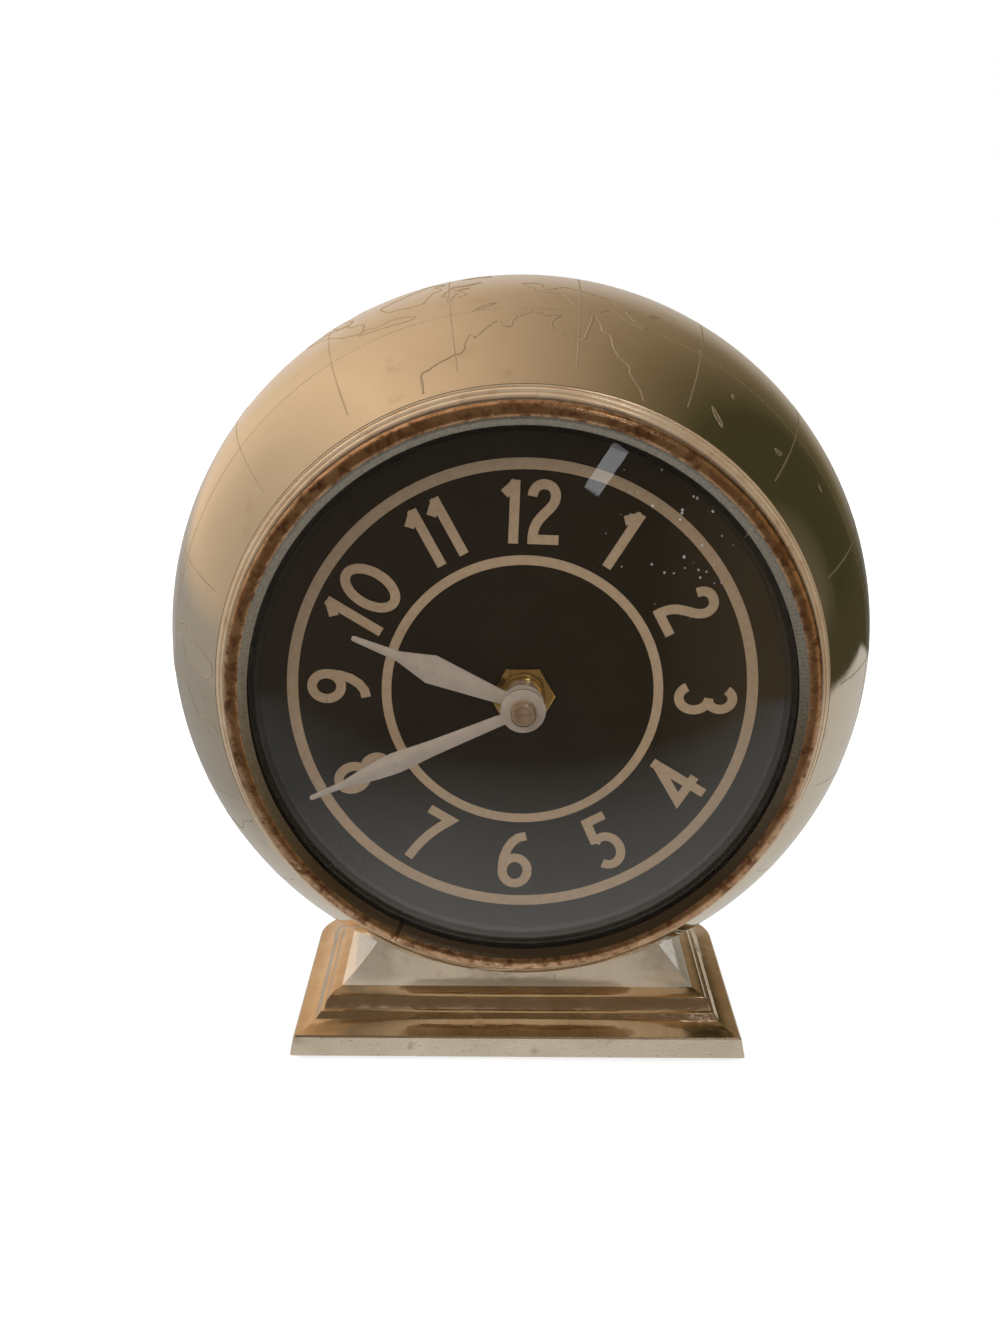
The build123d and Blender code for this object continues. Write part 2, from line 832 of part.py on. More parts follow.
def stator():
    """The stamped stator: two legs from the coil to a ring round the rotor."""
    back = at_depth(stator_depth + stator_thickness)
    ring_radius = magnet_radius + stator_gap + stator_ring_wall
    half = stator_leg_width / 2
    leg_top = coil_height + core_width / 2
    face = Pos(rotor_axis[0], rotor_axis[1]) * Circle(ring_radius)
    pieces = [
        (stator_leg_left, stator_leg_left + stator_leg_width, stator_strip_height - half, leg_top),
        (stator_leg_left, rotor_axis[0], stator_strip_height - half, stator_strip_height + half),
        (stator_leg_right, stator_leg_right + stator_leg_width, rotor_axis[1], leg_top),
    ]
    for x_low, x_high, y_low, y_high in pieces:
        middle = Pos((x_low + x_high) / 2, (y_low + y_high) / 2)
        face += middle * Rectangle(x_high - x_low, y_high - y_low)
    face -= Pos(rotor_axis[0], rotor_axis[1]) * Circle(magnet_radius + stator_gap)
    return extrude(Pos(0, 0, back) * face, stator_thickness)


core_front = stator_depth + stator_thickness
core_middle = core_front + core_thickness / 2


def coil_core():
    right = coil_left + coil_length + core_overhang
    return slab_between(
        stator_leg_left, right, coil_height - core_width / 2, coil_height + core_width / 2,
        at_depth(core_front + core_thickness), at_depth(core_front),
    )


def along_coil(solid, x_start):
    """Turns a solid that stands on the z axis to lie along x, on the coil's axis."""
    return Pos(x_start, coil_height, at_depth(core_middle)) * Rot(0, 90, 0) * solid


bobbin_tube_radius = math.hypot(core_width / 2, core_thickness / 2) + seat_gap + bobbin_wall


def coil_bobbin():
    """The bobbin: a tube with a flange at each end and the core's slot right through."""
    body = disc(bobbin_tube_radius, 0, coil_length)
    body += disc(bobbin_flange_radius, 0, bobbin_flange_thickness)
    body += disc(bobbin_flange_radius, coil_length - bobbin_flange_thickness, coil_length)
    slot = Box(core_thickness + seat_gap * 2, core_width + seat_gap * 2, coil_length * 2)
    return along_coil(body - slot, coil_left)


def coil_winding():
    length = coil_length - bobbin_flange_thickness * 2
    return along_coil(tube(coil_radius, bobbin_tube_radius, 0, length), coil_left + bobbin_flange_thickness)


def circuit_board():
    return slab_between(
        board_left, board_left + board_width, board_bottom, board_bottom + board_height,
        at_depth(board_depth + board_thickness), at_depth(board_depth),
    )


board_back = board_depth + board_thickness


def quartz_can():
    can = Rot(0, 90, 0) * Cylinder(quartz_radius, quartz_length)
    x_middle = board_left + quartz_length
    return Pos(x_middle, board_bottom + board_height / 2, at_depth(board_back + quartz_radius)) * can


def control_chip():
    place = (board_left + board_width - chip_radius * 1.5, board_bottom + board_height / 2)
    return bar(chip_radius, board_back, board_back + chip_height, place)


def battery_contact(wall_x, outward):
    """A leaf contact bent from strip: flat against the bay's end wall, with a bowed tongue towards the battery."""
    inner = wall_x - outward * contact_thickness
    nose = inner - outward * contact_bend
    low = battery_y - contact_width / 2
    high = battery_y + contact_width / 2
    outline = Polyline(
        (wall_x, low),
        (wall_x, high),
        (inner, high),
        (inner, battery_y + contact_bend * 3),
        (nose, battery_y),
        (inner, battery_y - contact_bend * 3),
        (inner, low),
        close=True,
    )
    span = battery_radius
    back = at_depth(battery_depth + span / 2)
    return Pos(0, 0, back) * extrude(make_face(outline), span)


bay_end = case_size / 2 - case_wall
battery_right = bay_end - contact_thickness - contact_bend - battery_gap
battery_left = battery_right - battery_nub_length - battery_length


def contact_positive():
    return battery_contact(bay_end, 1)


def contact_negative():
    return battery_contact(-bay_end, -1)


def battery():
    """The AA cell with its positive nub on the right."""
    cell = disc(battery_radius, 0, battery_length)
    nub = disc(battery_nub_radius, battery_length, battery_length + battery_nub_length)
    cell = chamfer(cell.edges(), battery_gap) + nub
    return Pos(battery_left, battery_y, at_depth(battery_depth)) * Rot(0, 90, 0) * cell


# Hands and their arbors


def hand_outline(outline_shares, length, half_width, tip_share):
    """A hand's flat outline that points up, from shares of its length and half width, with a rounded tip."""
    right = [(half_width * width, length * place) for place, width in outline_shares]
    left = [(-x, y) for x, y in reversed(right)]
    tip = (0, length * tip_share)
    edges = [Polyline(*right), ThreePointArc(right[-1], tip, left[0]), Polyline(*left), Line(left[-1], right[0])]
    return make_face(Curve(edges))


def hour_hand():
    """The hour hand: a flat stamped leaf with a round hub on a collet."""
    low = dial_front + hour_hub_height
    flat = hand_outline(hour_hand_outline_shares, hour_hand_length, hour_hand_half_width, 1)
    flat += Circle(hour_hub_radius)
    leaf = extrude(Pos(0, 0, low) * flat, hour_hand_thickness)
    collet = disc(hour_collet_radius, bush_front + end_gap, low)
    bore = disc(hour_tube_radius + running_gap, bush_front, low + hour_hand_thickness)
    return Rot(0, 0, -hour_angle) * (leaf + collet - bore)


def minute_hand():
    """The minute hand: a leaf with a ridge along its middle and a round hub on a collet."""
    low = dial_front + minute_hub_height
    flat = hand_outline(minute_hand_outline_shares, minute_hand_length, minute_hand_half_width, 1)
    leaf = extrude(Pos(0, 0, low) * flat, minute_hand_thickness)
    roof = make_face(
        Plane.XZ
        * Polyline(
            (-minute_hand_half_width, low),
            (minute_hand_half_width, low),
            (minute_hand_half_width, low + minute_hand_edge),
            (0, low + minute_hand_thickness),
            (-minute_hand_half_width, low + minute_hand_edge),
            close=True,
        )
    )
    leaf &= Pos(0, minute_hand_length, 0) * extrude(roof, minute_hand_length)
    bend = Pos(0, minute_collet_radius, low)
    leaf = bend * Rot(-minute_hand_droop, 0, 0) * bend.inverse() * leaf
    hub = disc(minute_hub_radius, low, low + minute_hand_thickness)
    collet_low = dial_front + hour_hub_height + hour_hand_thickness + hand_gap
    collet = disc(minute_collet_radius, collet_low, low)
    hand = leaf + hub + collet
    hand -= disc(minute_arbor_radius + running_gap, collet_low, low)
    hand -= disc(arbor_tip_radius + running_gap, low, low + minute_hand_thickness)
    return Rot(0, 0, -minute_angle) * hand


def hand_cap_nut():
    """The round cap nut over the minute hand, chamfered, with a shallow dish in its face."""
    low = dial_front + cap_face
    high = low + cap_nut_height
    bore = arbor_tip_radius + running_gap
    bore_top = low + arbor_tip_length
    dish_radius = cap_nut_radius - cap_nut_chamfer * 1.4
    return turned(
        (bore, low),
        (cap_nut_radius, low),
        (cap_nut_radius, high - cap_nut_chamfer),
        (cap_nut_radius - cap_nut_chamfer, high),
        (dish_radius, high),
        (0, high - cap_nut_dish),
        (0, bore_top),
        (bore, bore_top),
    )


hour_tube_front = dial_front + hour_hub_height + hour_hand_thickness
centre_pivot_radius = arbor_radius * 2


def hour_wheel():
    """The hour wheel with the tube that carries the hour hand."""
    toothed = wheel(
        hour_wheel_teeth, hour_module, hour_wheel_thickness, hour_wheel_depth, dial_axis, hour_wheel_phase,
        hour_tube_bore,
    )
    return toothed + tube(hour_tube_radius, hour_tube_bore, at_depth(hour_wheel_depth), hour_tube_front)


def minute_arbor():
    """The arbor that carries the minute hand, with the cannon pinion and a pivot in the train plate."""
    shoulder = dial_front + minute_hub_height
    body = disc(minute_arbor_radius, at_depth(cannon_depth), shoulder)
    core = bar(minute_core_radius, cannon_depth, plate_depth - end_gap, dial_axis)
    tip = disc(arbor_tip_radius, shoulder, dial_front + cap_face + arbor_tip_length - end_gap)
    pivot = bar(centre_pivot_radius, plate_depth - end_gap, plate_depth + plate_thickness, dial_axis)
    leaves = wheel(
        cannon_teeth, motion_module, pinion_thickness, cannon_depth, dial_axis, cannon_phase, minute_core_radius / 2
    )
    return body + core + tip + pivot + leaves


# Tooth phases: each wheel is turned so that its teeth stand in mesh with its neighbour's
cannon_phase = 0.0
minute_wheel_phase = partner_phase(cannon_phase, cannon_teeth, minute_wheel_teeth, minute_wheel_direction)
set_pinion_phase = partner_phase(minute_wheel_phase, minute_wheel_teeth, set_pinion_teeth, set_pinion_direction)
minute_pinion_phase = 0.0
hour_wheel_phase = partner_phase(
    minute_pinion_phase, minute_pinion_teeth, hour_wheel_teeth, minute_wheel_direction + 180
)
centre_phase = 0.0
third_pinion_phase = partner_phase(centre_phase, centre_teeth, third_pinion_teeth, third_direction)
third_phase = 0.0
seconds_pinion_phase = partner_phase(third_phase, third_teeth, seconds_pinion_teeth, seconds_direction)
seconds_phase = 0.0
intermediate_pinion_phase = partner_phase(
    seconds_phase, seconds_teeth, intermediate_pinion_teeth, intermediate_direction
)
intermediate_phase = 0.0
rotor_pinion_phase = partner_phase(intermediate_phase, intermediate_teeth, rotor_pinion_teeth, rotor_direction)


def minute_wheel():
    """The minute wheel and its pinion, which turn on a fixed post between cannon pinion and hour wheel."""
    bore = arbor_radius + running_gap
    toothed = wheel(
        minute_wheel_teeth, motion_module, wheel_thickness, minute_wheel_depth, minute_wheel_axis,
        minute_wheel_phase, bore,
    )
    leaves = wheel(
        minute_pinion_teeth, hour_module, minute_wheel_depth - minute_pinion_depth, minute_pinion_depth,
        minute_wheel_axis, minute_pinion_phase, bore,
    )
    return toothed + leaves


def set_arbor():
    """The setting arbor with its pinion, from the front wall to the knob behind the cover."""
    end = case_depth + cover_thickness + end_gap * 2 + set_knob_height / 2
    body = bar(set_arbor_radius, minute_wheel_depth - end_gap, end, set_axis)
    foot = bar(set_arbor_radius, case_front_wall + end_gap, minute_wheel_depth, set_axis)
    leaves = wheel(
        set_pinion_teeth, motion_module, wheel_thickness, minute_wheel_depth, set_axis, set_pinion_phase,
        set_arbor_radius / 2,
    )
    return body + foot + leaves


def set_knob():
    """The fluted setting knob behind the cover."""
    front = case_depth + cover_thickness + end_gap * 2
    back = front + set_knob_height
    outline = Circle(set_knob_radius)
    for number in range(set_knob_flutes):
        place = polar(set_knob_radius, number * 360 / set_knob_flutes)
        outline -= Pos(*place) * Circle(set_knob_flute_radius)
    knob = extrude(Pos(set_axis[0], set_axis[1], at_depth(back)) * outline, set_knob_height)
    return knob - bar(set_arbor_radius, front, front + set_knob_height / 2, set_axis)


def centre_wheel():
    """The centre wheel, which turns the minute arbor through the friction spring."""
    return wheel(
        centre_teeth, coarse_module, wheel_thickness, centre_wheel_depth, dial_axis, centre_phase,
        minute_core_radius + running_gap,
    )


def friction_spring():
    """The three-armed washer spring that presses the centre wheel, fixed on the minute arbor."""
    ring = Circle(hub_radius * 2) - Circle(minute_core_radius)
    for number in range(3):
        arm = Pos(0, hub_radius * 3) * Rectangle(hub_radius, hub_radius * 3)
        ring += Rot(0, 0, number * 120) * arm
    back = at_depth(spring_depth + spring_thickness)
    return extrude(Pos(0, 0, back) * ring, spring_thickness)


def third_wheel():
    arbor = pivoted_arbor(third_axis, front_boss_shoulder, front_boss_end - pivot_hole_depth)
    leaves = wheel(
        third_pinion_teeth, coarse_module, pinion_thickness, centre_wheel_depth - end_gap, third_axis,
        third_pinion_phase,
    )
    toothed = wheel(third_teeth, fine_module, thin_wheel_thickness, third_wheel_depth, third_axis, third_phase)
    return arbor + leaves + toothed


def seconds_wheel():
    arbor = pivoted_arbor(seconds_axis, plate_shoulder, plate_pivot_start)
    leaves = wheel(
        seconds_pinion_teeth, fine_module, pinion_thickness, third_wheel_depth - end_gap, seconds_axis,
        seconds_pinion_phase,
    )
    toothed = wheel(
        seconds_teeth, coarse_module, thin_wheel_thickness, seconds_wheel_depth, seconds_axis, seconds_phase
    )
    return arbor + leaves + toothed


def intermediate_wheel():
    arbor = pivoted_arbor(intermediate_axis, plate_shoulder, plate_pivot_start)
    leaves = wheel(
        intermediate_pinion_teeth, coarse_module, pinion_thickness, seconds_wheel_depth - end_gap,
        intermediate_axis, intermediate_pinion_phase,
    )
    toothed = wheel(
        intermediate_teeth, fine_module, thin_wheel_thickness, intermediate_wheel_depth, intermediate_axis,
        intermediate_phase,
    )
    return arbor + leaves + toothed


def rotor_magnet():
    return bar(magnet_radius, magnet_depth, magnet_depth + magnet_length, rotor_axis) - bar(
        arbor_radius, magnet_depth, magnet_depth + magnet_length, rotor_axis
    )


def rotor_pinion():
    arbor = pivoted_arbor(rotor_axis, plate_shoulder, plate_pivot_start)
    leaves = wheel(
        rotor_pinion_teeth, fine_module, pinion_thickness, rotor_pinion_depth, rotor_axis, rotor_pinion_phase
    )
    return arbor + leaves


# Export: the clock's pieces go from the dial frame to their place in the globe
dial_frame = Pos(0, 0, globe_height) * Rot(90, 0, 0)

base_pieces = {
    "base_casting": base_casting,
    "base_pad": base_pad,
    "base_screw": base_screw,
    "base_washer": base_washer,
}
dial_pieces = {
    "globe_front": globe_front,
    "globe_rear": globe_rear,
    "globe_seam_ring": seam_ring,
    "globe_boss": globe_boss,
    "front_rim": front_rim,
    "movement_holder": movement_holder,
    "grip_band": grip_band,
    "bezel_ring": bezel_ring,
    "glass_crystal": glass_crystal,
    "dial_surround": dial_surround,
    "dial_plate": dial_plate,
    "dial_washer": dial_washer,
    "mounting_nut": mounting_nut,
    "movement_bush": movement_bush,
    "movement_case": movement_case,
    "movement_cover": movement_cover,
    "cover_screws": cover_screws,
    "train_plate": train_plate,
    "stator": stator,
    "coil_core": coil_core,
    "coil_bobbin": coil_bobbin,
    "coil_winding": coil_winding,
    "circuit_board": circuit_board,
    "quartz_can": quartz_can,
    "control_chip": control_chip,
    "contact_positive": contact_positive,
    "contact_negative": contact_negative,
    "battery": battery,
    "hour_hand": hour_hand,
    "hour_wheel": hour_wheel,
    "minute_hand": minute_hand,
    "hand_cap_nut": hand_cap_nut,
    "minute_arbor": minute_arbor,
    "minute_wheel": minute_wheel,
    "set_arbor": set_arbor,
    "set_knob": set_knob,
    "centre_wheel": centre_wheel,
    "friction_spring": friction_spring,
    "third_wheel": third_wheel,
    "seconds_wheel": seconds_wheel,
    "intermediate_wheel": intermediate_wheel,
    "rotor_magnet": rotor_magnet,
    "rotor_pinion": rotor_pinion,
}
for node, make_piece in base_pieces.items():
    export_step(make_piece(), f"parts/{node}.step")
for node, make_piece in dial_pieces.items():
    export_step(dial_frame * make_piece(), f"parts/{node}.step")
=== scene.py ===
"""World time clock: a polished globe on a stepped cast base, with a dark dial under a domed glass."""
import math

import bmesh
import bpy
from mathutils import Matrix, Vector, noise


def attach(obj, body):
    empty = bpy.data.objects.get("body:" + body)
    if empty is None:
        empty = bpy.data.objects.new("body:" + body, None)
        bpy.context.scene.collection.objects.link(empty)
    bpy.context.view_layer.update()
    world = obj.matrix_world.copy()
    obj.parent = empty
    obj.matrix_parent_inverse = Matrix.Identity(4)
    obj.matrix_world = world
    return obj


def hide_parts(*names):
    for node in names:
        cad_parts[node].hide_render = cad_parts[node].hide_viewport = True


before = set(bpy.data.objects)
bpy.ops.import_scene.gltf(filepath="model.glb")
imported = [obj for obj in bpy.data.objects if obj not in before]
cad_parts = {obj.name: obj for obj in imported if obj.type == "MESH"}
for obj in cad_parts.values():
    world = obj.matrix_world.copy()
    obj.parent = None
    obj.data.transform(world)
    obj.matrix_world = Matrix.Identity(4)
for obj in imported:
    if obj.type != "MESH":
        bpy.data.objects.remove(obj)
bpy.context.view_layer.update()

scene = bpy.context.scene
mm = 0.001

# Camera
# It stands a little above the clock, 0.29 m in front of the globe's centre, and looks down 17 degrees.
# The place and the lens were fitted to the globe's outline, the dial's rings and the base's corners.
globe_height = 98.2
camera_from_globe = (-4.09, -292.39, 81.94)
camera_pitch, camera_yaw, camera_roll = 17.445, -0.102, 0.307
focal_pixels = 1277.93
picture_height = 1333
lens = bpy.data.cameras.new("camera")
lens.sensor_width = 36
lens.lens = focal_pixels * lens.sensor_width / picture_height
lens.clip_start = 0.01
camera = bpy.data.objects.new("camera", lens)
scene.collection.objects.link(camera)
turn = Matrix.Rotation(math.radians(-camera_yaw), 4, "Z") @ Matrix.Rotation(math.radians(90 - camera_pitch), 4, "X")
turn = turn @ Matrix.Rotation(math.radians(camera_roll), 4, "Z")
camera.matrix_world = Matrix.Translation((Vector(camera_from_globe) + Vector((0, 0, globe_height))) * mm) @ turn
scene.camera = camera
scene.view_settings.view_transform = "Standard"


# Floor and light
# A plain pale floor that keeps the clock's shadow, and soft lamps from the left, the right and behind. What the
# metal mirrors is a studio that nothing else sees: warm and dark bands round it, and a pale table under the clock.
def new_material(name):
    """An empty node material, and its tree."""
    material = bpy.data.materials.new(name)
    material.use_nodes = True
    material.node_tree.nodes.clear()
    return material, material.node_tree


def add_node(tree, kind, inputs=None, **settings):
    node = tree.nodes.new(kind)
    for key, value in settings.items():
        setattr(node, key, value)
    for socket, value in (inputs or {}).items():
        if isinstance(value, bpy.types.NodeSocket):
            tree.links.new(value, node.inputs[socket])
        else:
            node.inputs[socket].default_value = value
    return node


def shade(tree, kind, inputs=None, **settings):
    """Adds a shader node and gives its first output."""
    return add_node(tree, "ShaderNode" + kind, inputs, **settings).outputs[0]


def sums(tree, operation, first, second=0.0, clamp=False):
    """Arithmetic. What MULTIPLY_ADD adds is always a half."""
    return shade(tree, "Math", {0: first, 1: second, 2: 0.5}, operation=operation, use_clamp=clamp)


def spread(tree, value, low, high, to_low=0.0, to_high=1.0, easing="LINEAR"):
    """Takes a value from one range to another, and holds it at the ends."""
    return shade(tree, "MapRange", {0: value, 1: low, 2: high, 3: to_low, 4: to_high}, interpolation_type=easing)


def blended(tree, share, first, second):
    return shade(tree, "MixShader", {0: share, 1: first, 2: second})


def tinted(tree, share, first, second):
    return add_node(tree, "ShaderNodeMix", {0: share, 6: first, 7: second}, data_type="RGBA").outputs[2]


def principled(tree, inputs):
    """A Principled surface as the whole material."""
    add_node(tree, "ShaderNodeOutputMaterial", {"Surface": shade(tree, "BsdfPrincipled", inputs)})


def parted(tree, vector):
    """The X, Y and Z of a vector."""
    return add_node(tree, "ShaderNodeSeparateXYZ", {0: vector}).outputs


def ramp(tree, factor, stops):
    """A colour ramp from (place, colour) stops."""
    node = add_node(tree, "ShaderNodeValToRGB", {0: factor})
    band = node.color_ramp
    while len(band.elements) > 1:
        band.elements.remove(band.elements[-1])
    band.elements[0].position = stops[0][0]
    band.elements[0].color = (*stops[0][1], 1)
    for place, colour in stops[1:]:
        band.elements.new(place).color = (*colour, 1)
    return node.outputs[0]


def ray_kinds(tree):
    """Whether a ray comes straight to the camera, through glass too, and whether it was mirrored on its way."""
    path = add_node(tree, "ShaderNodeLightPath").outputs
    was_mirrored = sums(tree, "GREATER_THAN", path["Glossy Depth"], 0.5)
    was_scattered = sums(tree, "GREATER_THAN", path["Diffuse Depth"], 0.5)
    turned = sums(tree, "MAXIMUM", was_mirrored, was_scattered)
    straight = sums(tree, "MAXIMUM", path["Is Camera Ray"], path["Is Transmission Ray"])
    seen = sums(tree, "SUBTRACT", straight, turned, clamp=True)
    return seen, sums(tree, "SUBTRACT", was_mirrored, was_scattered, clamp=True)


floor_size, floor_drop = 6.0, 0.0002
floor_glow, floor_grey = 0.80, 0.46
table_front, table_back, table_side = -0.235, 0.28, 0.34
front_fade, back_fade, side_fade = 0.12, 0.02, 0.04
floor_material, tree = new_material("pale_floor")
seen, in_metal = ray_kinds(tree)
glow = shade(tree, "Emission", {"Color": (1, 1, 1, 1), "Strength": sums(tree, "MULTIPLY", seen, floor_glow)})
matt = shade(tree, "BsdfDiffuse", {"Color": (floor_grey, floor_grey, floor_grey, 1)})
plain = shade(tree, "AddShader", {0: glow, 1: matt})
spot = parted(tree, add_node(tree, "ShaderNodeTexCoord").outputs["Object"])
table_tone = ramp(tree, sums(tree, "MULTIPLY_ADD", spot["X"], 2.5), [
    (0.14, (0.33, 0.32, 0.30)), (0.40, (0.63, 0.61, 0.57)), (0.80, (0.54, 0.52, 0.48)),
])
near = spread(tree, spot["Y"], table_front, table_front + front_fade)
far = spread(tree, spot["Y"], table_back + back_fade, table_back)
beside = spread(tree, sums(tree, "ABSOLUTE", spot["X"]), table_side + side_fade, table_side)
on_table = sums(tree, "MULTIPLY", sums(tree, "MULTIPLY", near, far), beside)
table = shade(tree, "Emission", {"Color": table_tone, "Strength": 1.0})
mirrored = blended(tree, on_table, shade(tree, "BsdfTransparent"), table)
add_node(tree, "ShaderNodeOutputMaterial", {"Surface": blended(tree, in_metal, plain, mirrored)})
half = floor_size / 2
floor_mesh = bpy.data.meshes.new("floor")
floor_mesh.from_pydata([(-half, -half, 0), (half, -half, 0), (half, half, 0), (-half, half, 0)], [], [(0, 1, 2, 3)])
floor_mesh.materials.append(floor_material)
floor = bpy.data.objects.new("floor", floor_mesh)
floor.location.z = -floor_drop
scene.collection.objects.link(floor)

world = bpy.data.worlds.new("studio")
scene.world = world
world.use_nodes = True
tree = world.node_tree
tree.nodes.clear()
seen, in_metal = ray_kinds(tree)
axes = parted(tree, add_node(tree, "ShaderNodeTexCoord").outputs["Generated"])
across = spread(tree, axes["X"], -1.0, 1.0)
behind_bands = ramp(tree, across, [
    (0.0, (0.47, 0.40, 0.31)), (0.22, (0.86, 0.665, 0.475)), (0.42, (0.62, 0.47, 0.33)),
    (0.55, (0.42, 0.32, 0.22)), (0.72, (0.20, 0.155, 0.09)), (0.84, (0.055, 0.050, 0.022)),
    (0.94, (0.05, 0.048, 0.022)), (1.0, (0.16, 0.14, 0.10)),
])
front_bands = ramp(tree, across, [
    (0.0, (0.20, 0.155, 0.11)), (0.25, (0.155, 0.122, 0.086)), (0.50, (0.155, 0.122, 0.084)),
    (0.78, (0.15, 0.115, 0.07)), (0.94, (0.36, 0.26, 0.15)),
])
low_bands = ramp(tree, across, [
    (0.0, (0.38, 0.36, 0.34)), (0.32, (0.35, 0.33, 0.30)), (0.50, (0.16, 0.13, 0.09)),
    (0.62, (0.06, 0.052, 0.025)), (1.0, (0.06, 0.054, 0.028)),
])
downward = spread(tree, axes["Z"], 0.0, -0.16, easing="SMOOTHSTEP")
to_front = spread(tree, axes["Y"], 0.12, -0.22, easing="SMOOTHSTEP")
screens = tinted(tree, to_front, tinted(tree, downward, behind_bands, low_bands), front_bands)
behind = spread(tree, axes["Y"], 0.80, 1.0, 0.0, 0.25, "SMOOTHSTEP")
white_share = sums(tree, "MAXIMUM", seen, sums(tree, "MULTIPLY", behind, in_metal))
level = shade(tree, "Background", {"Color": (1.0, 0.97, 0.93, 1), "Strength": 0.55})
studio = shade(tree, "Background", {"Color": screens, "Strength": 1.0})
white = shade(tree, "Background", {"Color": (1, 1, 1, 1), "Strength": 1.0})
lit = blended(tree, in_metal, level, studio)
add_node(tree, "ShaderNodeOutputWorld", {"Surface": blended(tree, white_share, lit, white)})

globe_centre = Vector((0, 0, globe_height * mm))


def soft_lamp(name, place, width, height, watts, colour, mirrored_too=False):
    """An area lamp turned to the globe's centre; metal and glass show it only if mirrored_too is set."""
    data = bpy.data.lights.new(name, "AREA")
    data.shape = "RECTANGLE"
    data.size, data.size_y = width, height
    data.energy = watts
    data.color = colour
    lamp = bpy.data.objects.new(name, data)
    lamp.location = place
    lamp.rotation_euler = (globe_centre - Vector(place)).to_track_quat("-Z", "Y").to_euler()
    lamp.visible_glossy = mirrored_too
    lamp.visible_transmission = mirrored_too
    scene.collection.objects.link(lamp)
    return lamp


soft_lamp("lamp_left", (-0.75, -0.45, 0.95), 0.7, 0.7, 9.0, (1.0, 0.93, 0.84))
soft_lamp("lamp_right", (0.9, -0.5, 0.45), 0.3, 0.5, 1.6, (1.0, 0.97, 0.92))
soft_lamp("lamp_back", (0.1, 0.8, 0.9), 0.8, 0.4, 4.0, (1.0, 0.98, 0.95))
soft_lamp("lamp_crest", (0.33, -0.27, 0.92), 0.36, 0.10, 0.22, (1.0, 0.94, 0.86), mirrored_too=True)
window_place, window_long = Vector((0.285, -0.53, 0.685)), Vector((0.10, 0.17, 0.11))
window = soft_lamp("window_slit", window_place, 0.06, 0.20, 0.085, (0.95, 0.97, 1.0), mirrored_too=True)
window_back = (window_place - globe_centre).normalized()
window_side = window_long.cross(window_back).normalized()
window_turn = Matrix((window_side, window_back.cross(window_side), window_back)).transposed()
window.rotation_euler = window_turn.to_euler()


# Base pad
# A pressed felt pad glued under the base, green-black, and set back from the edge so that it hardly shows.
def object_mm(tree, stretch=(1, 1, 1), start=(0, 0, 0)):
    """Object coordinates in millimetres, stretched and moved."""
    where = add_node(tree, "ShaderNodeTexCoord").outputs["Object"]
    return shade(tree, "Mapping", {"Vector": where, "Location": start, "Scale": [s / mm for s in stretch]})


def clouds(tree, where, size, detail):
    """Noise in soft spots of a size in millimetres."""
    return shade(tree, "TexNoise", {"Vector": where, "Scale": 1 / size, "Detail": detail})


def relief(tree, height, strength, depth, normal=None):
    """A bump of a depth in millimetres, on top of another where there is one."""
    inputs = {"Height": height, "Strength": strength, "Distance": depth * mm}
    if normal:
        inputs["Normal"] = normal
    return shade(tree, "Bump", inputs)


def mottled(name, colour, other, size, roughness=(0.4, 0.6), metal=0.0, bump=0.0, bump_size=None,
            stretch=(1, 1, 1), coat=0.0, sheen=0.0, shine=0.5):
    """A finish with two colours, uneven roughness and a fine relief, all on Object coordinates in millimetres."""
    material, tree = new_material(name)
    where = object_mm(tree, stretch)
    fine = clouds(tree, where, bump_size or size / 4, 4.0)
    inputs = {
        "Base Color": ramp(tree, clouds(tree, where, size, 4.0), [(0.35, colour), (0.68, other)]),
        "Roughness": spread(tree, fine, 0.3, 0.7, *roughness), "Metallic": metal, "Coat Weight": coat,
        "Sheen Weight": sheen, "Specular IOR Level": shine,
    }
    if bump:
        inputs["Normal"] = relief(tree, fine, bump, 0.1)
    principled(tree, inputs)
    return material


felt = mottled("felt", (0.030, 0.050, 0.036), (0.055, 0.080, 0.060), 0.6, (0.9, 1.0), bump=0.8, sheen=0.3)
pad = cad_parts["base_pad"]
if not pad.material_slots:
    pad.data.materials.append(None)
for slot in pad.material_slots:
    slot.link = "OBJECT"
    slot.material = felt

# Base casting
# A solid casting, plated pale champagne: a flat slab, two polished mouldings mitred at the front corners, and a
# hipped neck whose top is hollowed to seat the globe. The slab is finely brushed, with small pits.
base_width, base_depth, rear_corner = 106.0, 61.0, 12.0
pad_thickness, slab_height, slab_draft = 1.0, 5.0, 0.9
moulding_width, moulding_height = 10.6, 7.3
neck_run, neck_rise, neck_sag = 12.9, 14.4, 0.55
globe_radius, seat_gap = 80.0, 0.05
mitre_flat = 0.25
same_point = 1e-7
base_top = pad_thickness + slab_height
moulding_profile_shares = [
    (0.0, 0.0), (0.14, 0.045), (0.28, 0.11), (0.40, 0.21), (0.485, 0.33), (0.545, 0.425),
    (0.615, 0.465), (0.637, 0.575), (0.67, 0.71), (0.727, 0.835), (0.82, 0.925), (1.0, 1.0),
]


def arc(centre, radius, first, last, steps):
    """Points on an arc from one angle to another; 0 is right, 90 is up, in degrees. Two radii make an ellipse."""
    wide, high = radius if isinstance(radius, tuple) else (radius, radius)
    angles = [math.radians(first + (last - first) * i / steps) for i in range(steps + 1)]
    return [(centre[0] + wide * math.cos(angle), centre[1] + high * math.sin(angle)) for angle in angles]


